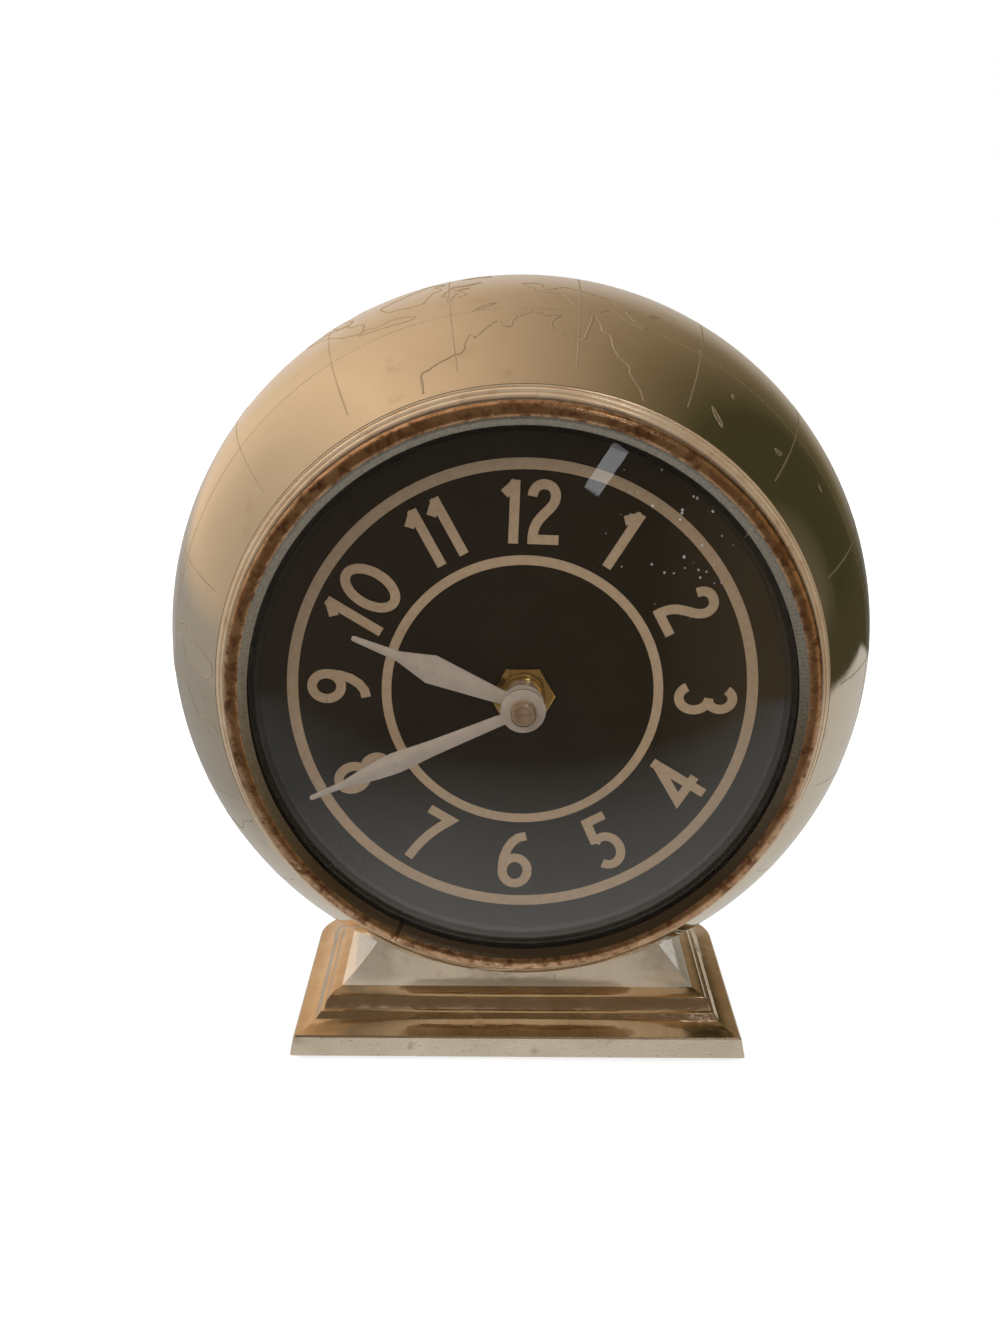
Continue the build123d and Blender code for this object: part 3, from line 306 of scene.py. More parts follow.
def base_loop(inset, height):
    """One level of the base, from the front left corner round to the right: blunt mitres in front, round behind."""
    half_width, half_depth = base_width / 2 - inset, base_depth / 2 - inset
    corner, corner_steps = min(rear_corner, half_depth), 10
    points = [
        (-half_width + mitre_flat, -half_depth), (half_width - mitre_flat, -half_depth),
        (half_width, -half_depth + mitre_flat),
    ]
    for centre_x, start in ((half_width - corner, 0), (corner - half_width, 90)):
        points += arc((centre_x, half_depth - corner), corner, start, start + 90, corner_steps)
    points.append((-half_width, -half_depth + mitre_flat))
    return [(x, y, height) for x, y in points]


def smooth_path(points, steps):
    """Catmull-Rom through the points, with the ends held."""
    result = []
    for i in range(len(points) - 1):
        a, b, c, d = (points[max(0, min(len(points) - 1, k))] for k in (i - 1, i, i + 1, i + 2))
        for s in range(steps):
            t = s / steps
            result.append(tuple(
                0.5 * (2 * q + (r - p) * t + (2 * p - 5 * q + 4 * r - s2) * t * t + (3 * q - p - 3 * r + s2) * t ** 3)
                for p, q, r, s2 in zip(a, b, c, d)
            ))
    result.append(tuple(points[-1]))
    return result


def fitted(name, mesh, body, node=None, sharp=None):
    """Shades the mesh smooth, edges apart, and makes it a piece that rides on a body and may stand for a node."""
    mesh.polygons.foreach_set("use_smooth", [True] * len(mesh.polygons))
    if sharp:
        mesh.set_sharp_from_angle(angle=math.radians(sharp))
    piece = bpy.data.objects.new(name, mesh)
    scene.collection.objects.link(piece)
    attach(piece, body)
    if node:
        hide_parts(node)
    return piece


def finish_mesh(name, vertices, faces, materials, body, node=None, sharp=30, face_materials=None):
    """A mesh piece in metres from points in millimetres, with outward faces and sharp edges where it turns."""
    mesh = bpy.data.meshes.new(name)
    mesh.from_pydata([tuple(c * mm for c in v) for v in vertices], [], faces)
    for material in materials:
        mesh.materials.append(material)
    if face_materials:
        mesh.polygons.foreach_set("material_index", face_materials)
    work = bmesh.new()
    work.from_mesh(mesh)
    bmesh.ops.remove_doubles(work, verts=work.verts, dist=same_point)
    bmesh.ops.recalc_face_normals(work, faces=work.faces)
    work.to_mesh(mesh)
    work.free()
    fitted(name, mesh, body, node, sharp)


edge_soft, top_lean, least_inset = 0.35, 0.09, 0.3
levels = [
    (edge_soft - slab_draft, pad_thickness), (-slab_draft, pad_thickness + edge_soft),
    (-top_lean, base_top - edge_soft), (edge_soft - top_lean, base_top - 0.02),
]
slab, moulding, neck = 0, 1, 2
marks = [slab] * (len(levels) - 1)
lower_round = smooth_path(moulding_profile_shares[:6], 4)
upper_round = smooth_path(moulding_profile_shares[6:], 4)
for inset_share, rise_share in lower_round[1:] + upper_round:
    levels.append((max(moulding_width * inset_share, least_inset), base_top + moulding_height * rise_share))
    marks.append(moulding)
loops = [base_loop(*level) for level in levels]


def neck_place(share):
    sag = neck_sag * math.sin(math.pi * share)
    return moulding_width + neck_run * share + sag, base_top + moulding_height + neck_rise * share - sag


columns = len(loops[0])
reach = globe_radius + seat_gap
neck_steps, screw_hole, halvings = 8, 2.65, 30
crossings = []
for k in range(columns):
    low, high = 0.0, 1.0
    for _ in range(halvings):
        middle = (low + high) / 2
        x, y, z = base_loop(*neck_place(middle))[k]
        if math.sqrt(x * x + y * y + (z - globe_height) ** 2) > reach:
            low = middle
        else:
            high = middle
    crossings.append(low)
for i in range(neck_steps + 1):
    loops.append([base_loop(*neck_place(crossings[k] * i / neck_steps))[k] for k in range(columns)])
    marks.append(neck)
edge = loops[-1]
for share in (0.25, 0.5, 0.75, 1.0):
    ring = []
    for x, y, z in edge:
        length = math.hypot(x, y)
        keep = (length + (screw_hole - length) * share) / length
        px, py = x * keep, y * keep
        ring.append((px, py, globe_height - math.sqrt(reach ** 2 - px * px - py * py)))
    loops.append(ring)
    marks.append(neck)
vertices = [point for loop in loops for point in loop]
faces, face_materials = [], []
for row in range(len(loops) - 1):
    for k in range(columns):
        n = (k + 1) % columns
        faces.append((row * columns + k, row * columns + n, (row + 1) * columns + n, (row + 1) * columns + k))
        face_materials.append(marks[row])
faces += [tuple(reversed(range(columns))), tuple((len(loops) - 1) * columns + k for k in range(columns))]
face_materials += [slab, neck]


grain_depth, pit_depth, pit_reach, pit_cells = 0.05, 0.2, 0.22, 0.55
wave_size, wave_depth = 9.0, 1.0
patina_finer, patina_dulls = 2.2, 0.18


def plated(name, colour, worn, roughness, grain=(1, 1, 1), grain_size=0.5, bump=0.1, pits=0.0, wave=0.0,
           patina=None, patina_size=8.0, patina_range=(0.52, 0.72), metallic=1.0):
    """Plated metal: a fine grain in its roughness and relief, cloudy wear, pits, and soft waves left by pressing."""
    material, tree = new_material(name)
    where = object_mm(tree)
    fine = clouds(tree, shade(tree, "Mapping", {"Vector": where, "Scale": grain}), grain_size, 6.0)
    tone = ramp(tree, clouds(tree, where, patina_size, 5.0), [(0.38, colour), (0.66, worn)])
    rough = spread(tree, fine, 0.3, 0.7, *roughness)
    if patina:
        spots = spread(tree, clouds(tree, where, patina_size / patina_finer, 9.0), *patina_range)
        tone = tinted(tree, spots, tone, (*patina, 1))
        rough = sums(tree, "ADD", rough, sums(tree, "MULTIPLY", spots, patina_dulls), clamp=True)
    normal = relief(tree, fine, bump, grain_depth)
    if pits:
        cells = shade(tree, "TexVoronoi", {"Vector": where, "Scale": pit_cells}, feature="F1")
        normal = relief(tree, spread(tree, cells, 0.0, pit_reach), pits, pit_depth, normal)
    if wave:
        normal = relief(tree, clouds(tree, where, wave_size, 2.0), wave, wave_depth, normal)
    principled(tree, {"Base Color": tone, "Roughness": rough, "Metallic": metallic, "Normal": normal})
    return material


slab_metal = plated(
    "slab_metal", (0.79, 0.68, 0.54), (0.87, 0.77, 0.64), (0.22, 0.36), grain=(0.25, 1, 2.5), grain_size=0.35,
    bump=0.35, pits=0.25, wave=0.12, patina=(0.56, 0.47, 0.36), patina_size=10.0, patina_range=(0.62, 0.80),
)
moulding_metal = plated(
    "moulding_metal", (0.63, 0.47, 0.31), (0.72, 0.565, 0.40), (0.08, 0.18), grain=(0.3, 0.6, 1.4), grain_size=0.5,
    bump=0.12, pits=0.08, wave=0.30, patina=(0.56, 0.40, 0.26), patina_size=9.0, patina_range=(0.58, 0.80),
)
neck_metal = plated(
    "neck_metal", (0.86, 0.81, 0.73), (0.92, 0.87, 0.80), (0.14, 0.26), grain=(0.4, 0.6, 1.0), grain_size=0.6,
    bump=0.2, pits=0.12, wave=0.30, patina=(0.74, 0.67, 0.57), patina_size=9.0, patina_range=(0.60, 0.82),
    metallic=0.65,
)
finish_mesh("base_body", vertices, faces, [slab_metal, moulding_metal, neck_metal], "globe_and_base",
            "base_casting", sharp=28, face_materials=face_materials)

# Screw, washer and boss that hold the globe
# Plain zinc-plated steel. The screw comes up through the base into a boss soldered in the globe's bottom.
edge_angle = 32
zinc = plated("zinc_steel", (0.56, 0.56, 0.57), (0.66, 0.65, 0.62), (0.28, 0.42), grain_size=0.3, bump=0.2)


def refined(node, materials, body, bevel=0.0):
    """A CAD node's own shape as one closed mesh: its doubles merged and, when a bevel is given, its flat faces joined
    and its edges eased.
    """
    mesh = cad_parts[node].data.copy()
    mesh.materials.clear()
    for material in materials:
        mesh.materials.append(material)
    work = bmesh.new()
    work.from_mesh(mesh)
    bmesh.ops.remove_doubles(work, verts=work.verts, dist=2 * same_point)
    for face in work.faces:
        face.material_index = 0
    if bevel:
        bmesh.ops.dissolve_limit(
            work, angle_limit=math.radians(0.5), verts=work.verts, edges=work.edges, use_dissolve_boundaries=False,
        )
        corners = [
            e for e in work.edges if len(e.link_faces) == 2 and e.calc_face_angle(0) > math.radians(edge_angle)
        ]
        bmesh.ops.bevel(
            work, geom=corners, offset=bevel * mm, segments=2, profile=0.5, affect="EDGES", clamp_overlap=True,
        )
        bmesh.ops.remove_doubles(work, verts=work.verts, dist=same_point)
    work.to_mesh(mesh)
    work.free()
    return fitted(node + "_piece", mesh, body, node, edge_angle)


for node in ("base_screw", "base_washer", "globe_boss", "globe_seam_ring"):
    refined(node, [zinc], "globe_and_base")

# Globe
# Two pressed and spun brass cups, joined behind the front half, plated champagne and polished to a mirror.
# The front cup is cut off flat for the dial.
globe_wall, opening_radius = 1.2, 61.25
globe_skin = 79.92
seam_chamfer = 0.10
joint_clear, joint_edge, joint_shoulder = 0.6, 0.12, 0.42


def spun(name, outline, materials, body, node=None, segments=160, sharp=30, marks=None, seam=None):
    """A turned piece from (radius, depth) points in millimetres, round the dial's axis.

    marks holds each side's material. seam holds a butt joint's place in degrees, the share by which it is pressed
    in, and the section's middle.
    """
    vertices, faces, kinds = [], [], []
    angles = [(360 * k / segments, 0.0) for k in range(segments)]
    if seam:
        place, share, middle = seam
        angles = [pair for pair in angles if abs(pair[0] - place) > joint_clear]
        angles += [(place - joint_edge, share), (place + joint_edge, share)]
        angles += [(place - joint_shoulder, 0.0), (place + joint_shoulder, 0.0)]
        angles.sort()
    segments = len(angles)
    for radius, depth in outline:
        for bearing, pressed in angles:
            angle = math.radians(bearing)
            r, d = max(radius, 0.0), depth
            if pressed:
                r, d = r + (middle[0] - r) * pressed, d + (middle[1] - d) * pressed
            vertices.append((r * math.sin(angle), -d, globe_height + r * math.cos(angle)))
    for i in range(len(outline)):
        j = (i + 1) % len(outline)
        if outline[i][0] <= 0 and outline[j][0] <= 0:
            continue
        for k in range(segments):
            n = (k + 1) % segments
            if outline[i][0] <= 0:
                faces.append((i * segments, j * segments + k, j * segments + n))
            elif outline[j][0] <= 0:
                faces.append((i * segments + k, i * segments + n, j * segments))
            else:
                faces.append((i * segments + k, i * segments + n, j * segments + n, j * segments + k))
            kinds.append(marks[i] if marks else 0)
    finish_mesh(name, vertices, faces, materials, body, node, sharp, kinds)


globe_inner = globe_radius - globe_wall
opening_depth = math.sqrt(globe_radius ** 2 - opening_radius ** 2)
opening_angle = math.degrees(math.asin(opening_depth / globe_skin))
inner_opening_angle = math.degrees(math.asin(opening_depth / globe_inner))
seam_angle = math.degrees(seam_chamfer / globe_skin)
front_outline = [(globe_skin - seam_chamfer, 0.01)] + arc((0, 0), globe_skin, seam_angle, opening_angle, 44)
front_outline += arc((0, 0), globe_inner, inner_opening_angle, 0.01, 22)
rear_outline = [(globe_skin - seam_chamfer, -0.01)] + arc((0, 0), globe_skin, -seam_angle, -90, 88)[:-1]
rear_outline += [(0, -globe_skin), (0, -globe_inner)] + arc((0, 0), globe_inner, -90, -0.01, 44)[1:]

champagne = plated(
    "champagne_plate", (0.76, 0.665, 0.53), (0.80, 0.70, 0.565), (0.055, 0.11), grain_size=0.7, bump=0.035, wave=0.05,
    patina=(0.62, 0.51, 0.38), patina_size=16.0, patina_range=(0.62, 0.85),
)
spun("globe_front_cup", front_outline, [champagne], "globe_and_base", "globe_front", segments=192)
spun("globe_rear_cup", rear_outline, [champagne], "globe_and_base", "globe_rear", segments=192)

# Engraved map
# Shallow engraved lines, left matt by the cutter: the coasts of the world drawn from an atlas, every twentieth
# meridian and five parallels. The south pole lies behind the dial and 131.5 degrees east is at twelve o'clock.
top_longitude, squeeze = 131.5, 0.12
line_radius, line_sink, line_sides = 0.55, 0.47, 12
line_depth = globe_skin - line_sink
map_edge = -39.4
shake_seed, fine_shake, slow_shake = 7, (60.0, 0.0045), (25.0, 0.004)
meridian_step, meridian_start, meridian_end, meridian_parts = 20, -36.5, 84, 92


def on_globe(turn, latitude):
    """The way out from the globe's centre, in degrees clockwise from the top and degrees back from the widest ring."""
    turn, latitude = math.radians(turn), math.radians(latitude)
    away = math.cos(latitude)
    return Vector((away * math.sin(turn), math.sin(latitude), away * math.cos(turn)))


# Longitude and latitude in turn, with a semicolon between two coasts
coasts = """
113.3 -26.2 113.7 -24 113.8 -22.6 114.2 -21.9 115.5 -21.5 117 -20.7 118.8 -20.3 120.9 -19.6 121.7 -18.6 122.3 -17.2
123 -16.4 123.6 -17.2 124.4 -16.3 125.2 -15.1 126.2 -14.2 127.2 -13.9 128.2 -14.9 129.4 -15 129.6 -13.6 130.4 -12.6
131.3 -12.2 132.6 -11.4 133.4 -11.8 135 -12.2 136.1 -12.1 136.9 -12.3 136 -13.4 135.6 -14.8 136.9 -15.8 139 -17.2
140.2 -17.7 141 -16.4 141.6 -14.2 141.7 -12.4 142.5 -10.8 143.2 -12.2 143.8 -14.2 144.9 -14.7 145.4 -16.2 146.1 -18.2
147.2 -19.3 148.6 -20.4 149.5 -22 150.8 -23.3 152.2 -24.9 153.1 -26 153.4 -27.8;
131 -0.8 132.5 -0.4 134 -0.8 134.3 -2.6 135.2 -3.3 137.8 -1.6 141 -2.6 144.5 -3.9 146 -5.6 147.8 -6.2 147.1 -7.1
148.6 -9 150.6 -10.4 147.8 -10.1 146 -8.4 144.2 -7.7 142.6 -9.3 139.1 -8.1 137.9 -5.4 135.2 -4.4 133.2 -4.1 132.9
-2.8 132.1 -2.2 131 -0.8;
109 1.6 111.3 2.4 113 3.2 115.3 5.2 117 7 119.2 5.2 117.8 3.8 118.9 1 117.5 0.2 116.4 -2.2 116 -4 114.5 -4 112 -3.2
110.2 -2.4 109.2 -0.2 109 1.6;
95.3 5.6 97.5 5.2 100.4 2.6 103.4 0.6 103.8 -1.1 106 -3 105.8 -5.8 104.5 -5.6 102.2 -3.7 100.3 -0.8 98.7 1.7 96.5 3.7
95.3 5.6;
105.3 -6.8 106.2 -5.9 108.4 -6.6 110.6 -6.4 112.7 -6.9 114.5 -7.8 114.3 -8.6 111.5 -8.3 108.5 -7.7 105.3 -6.8;
123.6 -10.3 125.2 -8.8 127.2 -8.4 126 -9.3 123.6 -10.3;
119.5 -5.5 119.4 -3.4 118.9 -2.7 120 -0.6 120.3 1 123 1 125 1.5 123.2 0.4 120.4 0.4 121 -1 123.2 -1 121.6 -2 122.5
-3.8 121.4 -4.6 120.9 -2.8 120.3 -5.5 119.5 -5.5;
120.3 16 120.6 18.4 122.2 18.4 121.6 15.8 124 13 123.2 13 121.7 13.8 120.6 13.9 120.3 16;
122 7 123.4 8.6 125.4 9.7 126.5 7.3 125.5 5.8 124 6.6 122 7;
164.1 -20.1 165.6 -21.2 167 -22.3 166.3 -22.2 164.6 -21 164.1 -20.1;
177.3 -17.8 178.6 -17.5 178.4 -18.2 177.4 -18.2 177.3 -17.8;
166.6 -14.8 167.2 -15.4 166.9 -15.7 166.6 -14.8;
159.6 -9.3 160.8 -9.7 160 -9.9 159.6 -9.3;
150.2 -6 152.2 -4.4 151.6 -5.6 150.2 -6;
187.6 -13.7 188.6 -14 187.8 -14.1 187.6 -13.7;
49.3 -12 50.4 -15.6 49.6 -16.4 49.4 -18.2 47.1 -25 45.2 -25.5 43.6 -23.6 43.4 -21.4 44.4 -19.8 44.4 -16.3 46.4 -15.6
47.9 -14 49.3 -12;
32.8 -28.2 32.6 -25.8 35.4 -24 35.5 -22.3 34.9 -20 36.2 -18.8 38.5 -17.2 40.7 -14.9 40.5 -10.6 39.5 -7.8 38.9 -6.3
39.2 -4.7 40.2 -2.7 42 -1 45.5 2 48.5 5 50.6 9.2 51.2 11.8 47 11.1 44.5 10.4 43.3 12 41.2 14.7 38.6 18 37.2 21 35.5
24 33.6 27.8 32.5 30 31.2 31.5 29 30.9 25 31.6 21.8 32.9 20.1 31.2 19 30.3 15.7 31.4 15.2 32.3 11.2 33.2 10.4 34.3 11
36.9 9.9 37.3 7 37 3.6 36.8 0.2 36.3 -2.2 35.1 -5.3 35.9 -6.3 35.4 -8.5 33.2 -9.7 31.5 -10 29.5 -12.9 27.9 -14 26.3
-15.8 24 -17 21 -16.3 19.5 -16.3 17.5 -17.4 14.7 -16.7 12.4 -15 10.8 -13.2 8.5 -10.8 6.3 -7.6 4.4 -4.6 5.2 -2.1 4.8
1.2 6 4.3 6.3 5.4 5 7.2 4.4 9.2 4 9.7 2.4 8.8 -0.7 9.6 -2.5 12.2 -5.8 13.4 -9 13.7 -12.5 12.4 -15.6 12 -18 14.5 -22.5
14.8 -25.5 16.4 -28.2;
32.5 30 34.9 29.5 34.7 28.1 36.8 25.8 39 21.5 41.8 17.8 42.7 15.5 43.4 12.7 45.2 12.9 48.7 14 52.2 15.6 55.3 17.6
57.8 19 59.8 22.5 58.6 23.7 56.6 24.9 56.3 26.2 54.2 24.2 51.6 24.2 51.5 25.9 50.1 26.6 48.4 28.5 48 30 50.2 30 51.5
27.9 54.7 26.6 57 27 57.8 25.7 61.6 25.1 66.5 25.3 68.2 23.7 70.3 22.6 69.1 22.3 70.8 20.8 72.7 21.6 72.8 19.1 73.6
15.8 74.8 12.9 76.3 9.9 77.5 8.1 78.2 9 79.8 10.3 80.2 13.2 80.3 15.6 82.3 16.6 85.1 19.5 87 21.4 88.9 21.7 91.8 22.3
92.3 20.7 94.2 18.2 94.4 16.1 97.2 16.6 98.1 13.6 98.7 10.4 98.3 8.1 100.3 6.2 101.3 2.9 103.6 1.4 104.2 2.6 103.3
4.6 102.1 6.3 100.3 8.4 99.3 10.6 100 13.4 101 12.7 102.9 11.3 104.8 10 104.9 8.7 106.8 10.5 109.2 11.6 109.2 13.8
107.4 16.8 105.8 19 107 20.9 108.2 21.6 110 20.4 111.6 21.6 114.2 22.3 116.7 23.2 119 25.3 120.6 27.8 121.9 29.9
121.7 31.8 119.4 34.9 122.4 37 121 37.7 118.9 37.5 118 38.9 121 40.7 121.4 39 124 39.9 125.2 38.6 126.5 36.7 126.4
34.6 129.2 35.3 129.3 37.3 127.5 39.6 130.6 42.3 132.6 43.1 135.5 44.6 138.3 46.8 140.5 50 141.2 52.3 139.9 54 137.3
54 138.5 56.5 142.4 59.2 148.8 59.4 152.8 59 155.1 59.3 160.1 61.8 163.2 62.4 162.1 59.9 156.8 57.7 155.6 54.8 156.8
51.2 158.6 53 160 54.9 162.4 56.3 163.3 58.4 166.2 60.1 170.6 60.1 177.2 62.5 181.5 65 187.5 64.4 190.2 66 184.5 67.3
180 68.9 170 70 161 69.5 152 71 140 72.5 130 71 127 73.4 114 73.7 104 77.6 98 76.2 87 75 80.5 73.5 80.5 72 74.8 72.8
72.8 71.2 67.3 69.6 68.5 68.3 60 68.5 54 68.4 46 68.1 43.3 66.4 40 64.7 37 65.1 34.8 64.5 38 66.1 41 66.6 33.5 69.4
29 70.2 25.5 71 19 69.8 14.5 67.3 12 65 9.5 63.7 5.2 61.9 5.2 59.3 7 58.1 10.4 59.2 11.3 58.9 12.8 55.6 14.2 55.5
16.4 56.6 16.8 58.6 18.9 60 17.3 61.7 21.3 64 24.4 65.8 25.3 64.9 21.4 62.8 21.4 60.8 25 60.1 29.9 59.9 23.6 59.2
24.3 57.5 21.6 57.5 20.9 55.3 18.7 54.5 14.2 54 11 54.1 10.6 57.5 8.2 57 8.6 54 6.9 53.4 4.6 52.9 3.6 51.4 1.7 50.6
-1.3 49.6 -1.6 48.6 -4.6 48.5 -2.4 47.2 -1.2 45.9 -1.5 43.5 -4.5 43.5 -8.8 43.4 -8.8 41.2 -9.4 38.7 -8.9 37.1 -6.5
36.9 -5.6 36.1 -2.1 36.8 -0.7 37.7 0.2 38.8 -0.3 39.5 3.2 42 3.1 43.2 6.2 43.1 8.9 44.4 10.3 43.3 12.4 41.6 15.6 40
15.8 38 16.9 39 17.2 40.5 18.5 40.2 16 41.9 13.6 43.6 12.4 45.2 13.8 45.5 15.2 44 18.3 42.4 19.5 40.9 21.2 38.6 21.7
36.9 23.2 36.5 24 37.8 22.7 39.4 23.9 40.4 26.1 40.8 28.9 41.1 28 42.2 28.8 44.2 30.7 46.4 33.4 46.1 33.6 44.6 35.4
45.1 37.8 47 39.8 43.4 41.6 42 41.4 41.3 38.4 41 35.2 42 31.4 41.3 29.1 41 26.9 39.4 27.3 37 30.5 36.4 32.8 36.1 36
36.9 35.9 34.9 34.6 32 34.2 31.2 32.5 31.2 31.2 31.5;
47.5 45.5 51 46.8 53.2 45.2 51 44.6 52.8 42 53.8 37.2 50 37.4 48.9 39.2 49.4 40.4 47.5 43 47.5 45.5;
192 65.6 197 66.6 193.5 68.3 203.4 71.3 219 69.6 232 70 245 68.5 252 68.2 264 68.3 266 72 278 69.6 278.5 67.5 270 64
266 60.5 265.3 58.8 267.6 57 274.5 55.3 277.8 55 277.7 52.9 280 51.3 281 54.5 283.4 57.2 281.5 58.9 282.5 62.5 286.5
62.2 295.4 60.3 298.5 56.5 302.5 54.5 304.3 52.5 300 50.2 293.5 50.2 295 47.2 299 45.6 294 43.7 290 43.7 289.3 41.8
286 40.6 284.4 35.3 282 33.9 278.8 31.5 279.8 27.2 279.6 25.3 278.2 26.1 277.2 28.5 275.8 30 270.7 30.3 266 29.6
262.8 27.7 262.3 22.4 265.6 18.2 268.7 18.7 269.7 21 273 21.5 272 18.5 271.2 15.9 276.7 15 276.4 11 278.5 9 280.4 9.5
282.7 8.6 284.5 10.6 288.3 12.3 288.5 11 298.1 10.7 299.2 8.6 303 6 308 4.7 310 1.2 315.5 -2.5 320 -2.9 323 -4.9
324.8 -6 325.1 -8.3 321 -13.5 320.8 -17.8 319 -22 315.4 -23.2 311.6 -26 311.2 -28;
288.5 -28.2 289.8 -20 289.6 -18.3 283.8 -13.9 281 -8.2 278.8 -5 280 -3 279.1 -1 280 0.8 282.5 4 282.5 6.9 280 8.4
277.1 8.2 274.3 10 272.4 12.9 268.5 14.1 265.3 16.2 260.2 16.8 256.5 18.4 254.4 20.4 254.5 22.2 250.6 25.7 247.7 29.2
245.2 31.7 249 26 250.4 23 247.8 25 245.1 28 242.8 33 239.4 34.6 237.5 37.6 235.7 40.4 236 44.7 235.3 48.3 237 49
232.5 51 229.5 54.5 225.5 58.2 220.4 59.6 214 60.8 208.3 59.2 201.5 56 195.2 54.6 202.5 58.5 198 58.7 194.5 61.5 199
64.5 193.8 64.6 192 65.6;
287 78.2 300 82 315 82.7 330 83.5 340 82 343 80 340.2 74 338 72 334.5 68.8 322.5 65.8 317.2 62.5 316.5 60 311.7 61
308.5 64 306.4 67 309 69.7 304 74 291.5 76 287 78.2;
279.5 73.7 288 71.6 298 66.8 293.5 65 295.2 62 288.5 64 282.2 64.4 287.5 68 281 70 271.5 71 279.5 73.7;
243 70 258.5 69 255.5 71 252.5 73.2 242.7 72.8 243 70;
270 77 280 76.3 284 78.6 296 81.5 290 83 268 80.5 270 77;
130.9 34 132.7 35.5 135.7 35.6 137 37 139.4 38.2 140 40.6 141.4 41.4 142 39.4 141 37 140.6 35.6 138.5 34.7 135.8 33.5
134 34.6 130.9 34;
130 33.4 131.8 33.6 131.4 31.4 130.3 31.3 130 33.4;
140.1 41.5 140.4 43.3 141.8 45.4 144.3 44 145.4 43.3 143.3 42 140.1 41.5;
142 46.1 142.2 49 142 53.5 143 54.2 144.6 49 143.4 46.8 142 46.1;
120.1 23 121.3 25.2 120.8 22 120.1 23;
108.7 19.2 110.5 20 109.5 18.3 108.7 19.2;
79.8 8.2 80.1 9.7 81.8 7.5 80.6 6 79.8 8.2;
-5.3 50.1 -3.4 51.3 -5.2 51.8 -4.5 53.2 -3 54 -5 55 -5.8 56.6 -5 58.5 -3.1 58.6 -1.9 57.5 -2.8 56 -1.2 54.6 0.3 53
1.7 52.6 1.2 51.2 -1.5 50.6 -5.3 50.1;
-6.2 52.2 -9.8 51.6 -9.6 53.4 -7.3 55.3 -5.7 54.6 -6.2 52.2;
-22.5 64 -24 65.5 -20.5 65.9 -16 66.4 -13.7 65 -18.5 63.4 -22.5 64;
275.2 21.9 278 23.1 285.7 20.2 282.6 19.9 278.3 22.2 275.2 21.9;
285.6 18.5 286.8 19.9 291.6 18.6 288.6 17.8 285.6 18.5;
15 77 12 79.5 20 80 18.5 78.5 15 77;
52 71.5 57 73.8 66 76.7 55.5 73.3 52 71.5;
204.1 20.2 205 19.6 204.3 19 204.1 20.2
"""


def engraved(name, lines, radius):
    """Lines cut in the globe: poly curves swept with a fine round section that lies almost wholly in the skin."""
    data = bpy.data.curves.new(name, "CURVE")
    data.dimensions = "3D"
    for points, ring in lines:
        spline = data.splines.new("POLY")
        spline.points.add(len(points) - 1)
        for target, p in zip(spline.points, points):
            target.co = (p.x * mm, p.y * mm, (p.z + globe_height) * mm, 1)
        spline.use_cyclic_u = ring
    source = bpy.data.objects.new(name + "_path", data)
    scene.collection.objects.link(source)
    tree = bpy.data.node_groups.new(name + "_sweep", "GeometryNodeTree")
    tree.interface.new_socket("Geometry", in_out="INPUT", socket_type="NodeSocketGeometry")
    radius_socket = tree.interface.new_socket("Line radius", in_out="INPUT", socket_type="NodeSocketFloat")
    sides_socket = tree.interface.new_socket("Sides", in_out="INPUT", socket_type="NodeSocketInt")
    tree.interface.new_socket("Geometry", in_out="OUTPUT", socket_type="NodeSocketGeometry")
    given = tree.nodes.new("NodeGroupInput").outputs
    section = add_node(tree, "GeometryNodeCurvePrimitiveCircle", {
        "Resolution": given["Sides"], "Radius": given["Line radius"],
    })
    sweep = add_node(tree, "GeometryNodeCurveToMesh", {
        "Curve": given["Geometry"], "Profile Curve": section.outputs["Curve"],
    })
    real = add_node(tree, "GeometryNodeRealizeInstances", {"Geometry": sweep.outputs["Mesh"]})
    paint = add_node(tree, "GeometryNodeSetMaterial", {"Geometry": real.outputs[0], "Material": engraving})
    add_node(tree, "NodeGroupOutput", {"Geometry": paint.outputs[0]})
    modifier = source.modifiers.new(name, "NODES")
    modifier.node_group = tree
    modifier[radius_socket.identifier] = radius * mm
    modifier[sides_socket.identifier] = line_sides
    bpy.context.view_layer.update()
    ready = source.evaluated_get(bpy.context.evaluated_depsgraph_get())
    mesh = bpy.data.meshes.new_from_object(ready)
    source.modifiers.clear()
    bpy.data.objects.remove(source)
    fitted(name, mesh, "globe_and_base")


engraving = plated("engraved_line", (0.74, 0.65, 0.52), (0.84, 0.76, 0.63), (0.42, 0.60), grain_size=0.25, bump=0.6)
noise.seed_set(shake_seed)
lines = []
for row in coasts.split(";"):
    values = [float(v) for v in row.split()]
    places = list(zip(values[0::2], values[1::2]))
    ring = places[0] == places[-1]
    track = smooth_path(places, 4)
    points = []
    for longitude, latitude in track:
        p = on_globe(longitude - top_longitude, latitude - squeeze * (90 - latitude))
        shake = noise.noise_vector(p * fine_shake[0]) * fine_shake[1]
        shake += noise.noise_vector(p * slow_shake[0]) * slow_shake[1]
        p = (p + shake).normalized() * line_depth
        if math.degrees(math.asin(p.y / line_depth)) > map_edge:
            points.append(p)
    if ring:
        points.pop()
    if len(points) > 2:
        lines.append((points, ring and len(points) == len(track) - 1))
engraved("engraved_coasts", lines, line_radius)

graticule = []
for longitude in range(0, 360, meridian_step):
    latitudes = [
        meridian_start + (meridian_end - meridian_start) * k / meridian_parts for k in range(meridian_parts + 1)
    ]
    graticule.append(([on_globe(longitude - top_longitude, place) * line_depth for place in latitudes], False))
for latitude in (-22.4, 0.0, 22.4, 45.0, 67.5):
    graticule.append(([on_globe(2 * k, latitude) * line_depth for k in range(180)], True))
engraved("engraved_meridians", graticule, line_radius * 0.93)

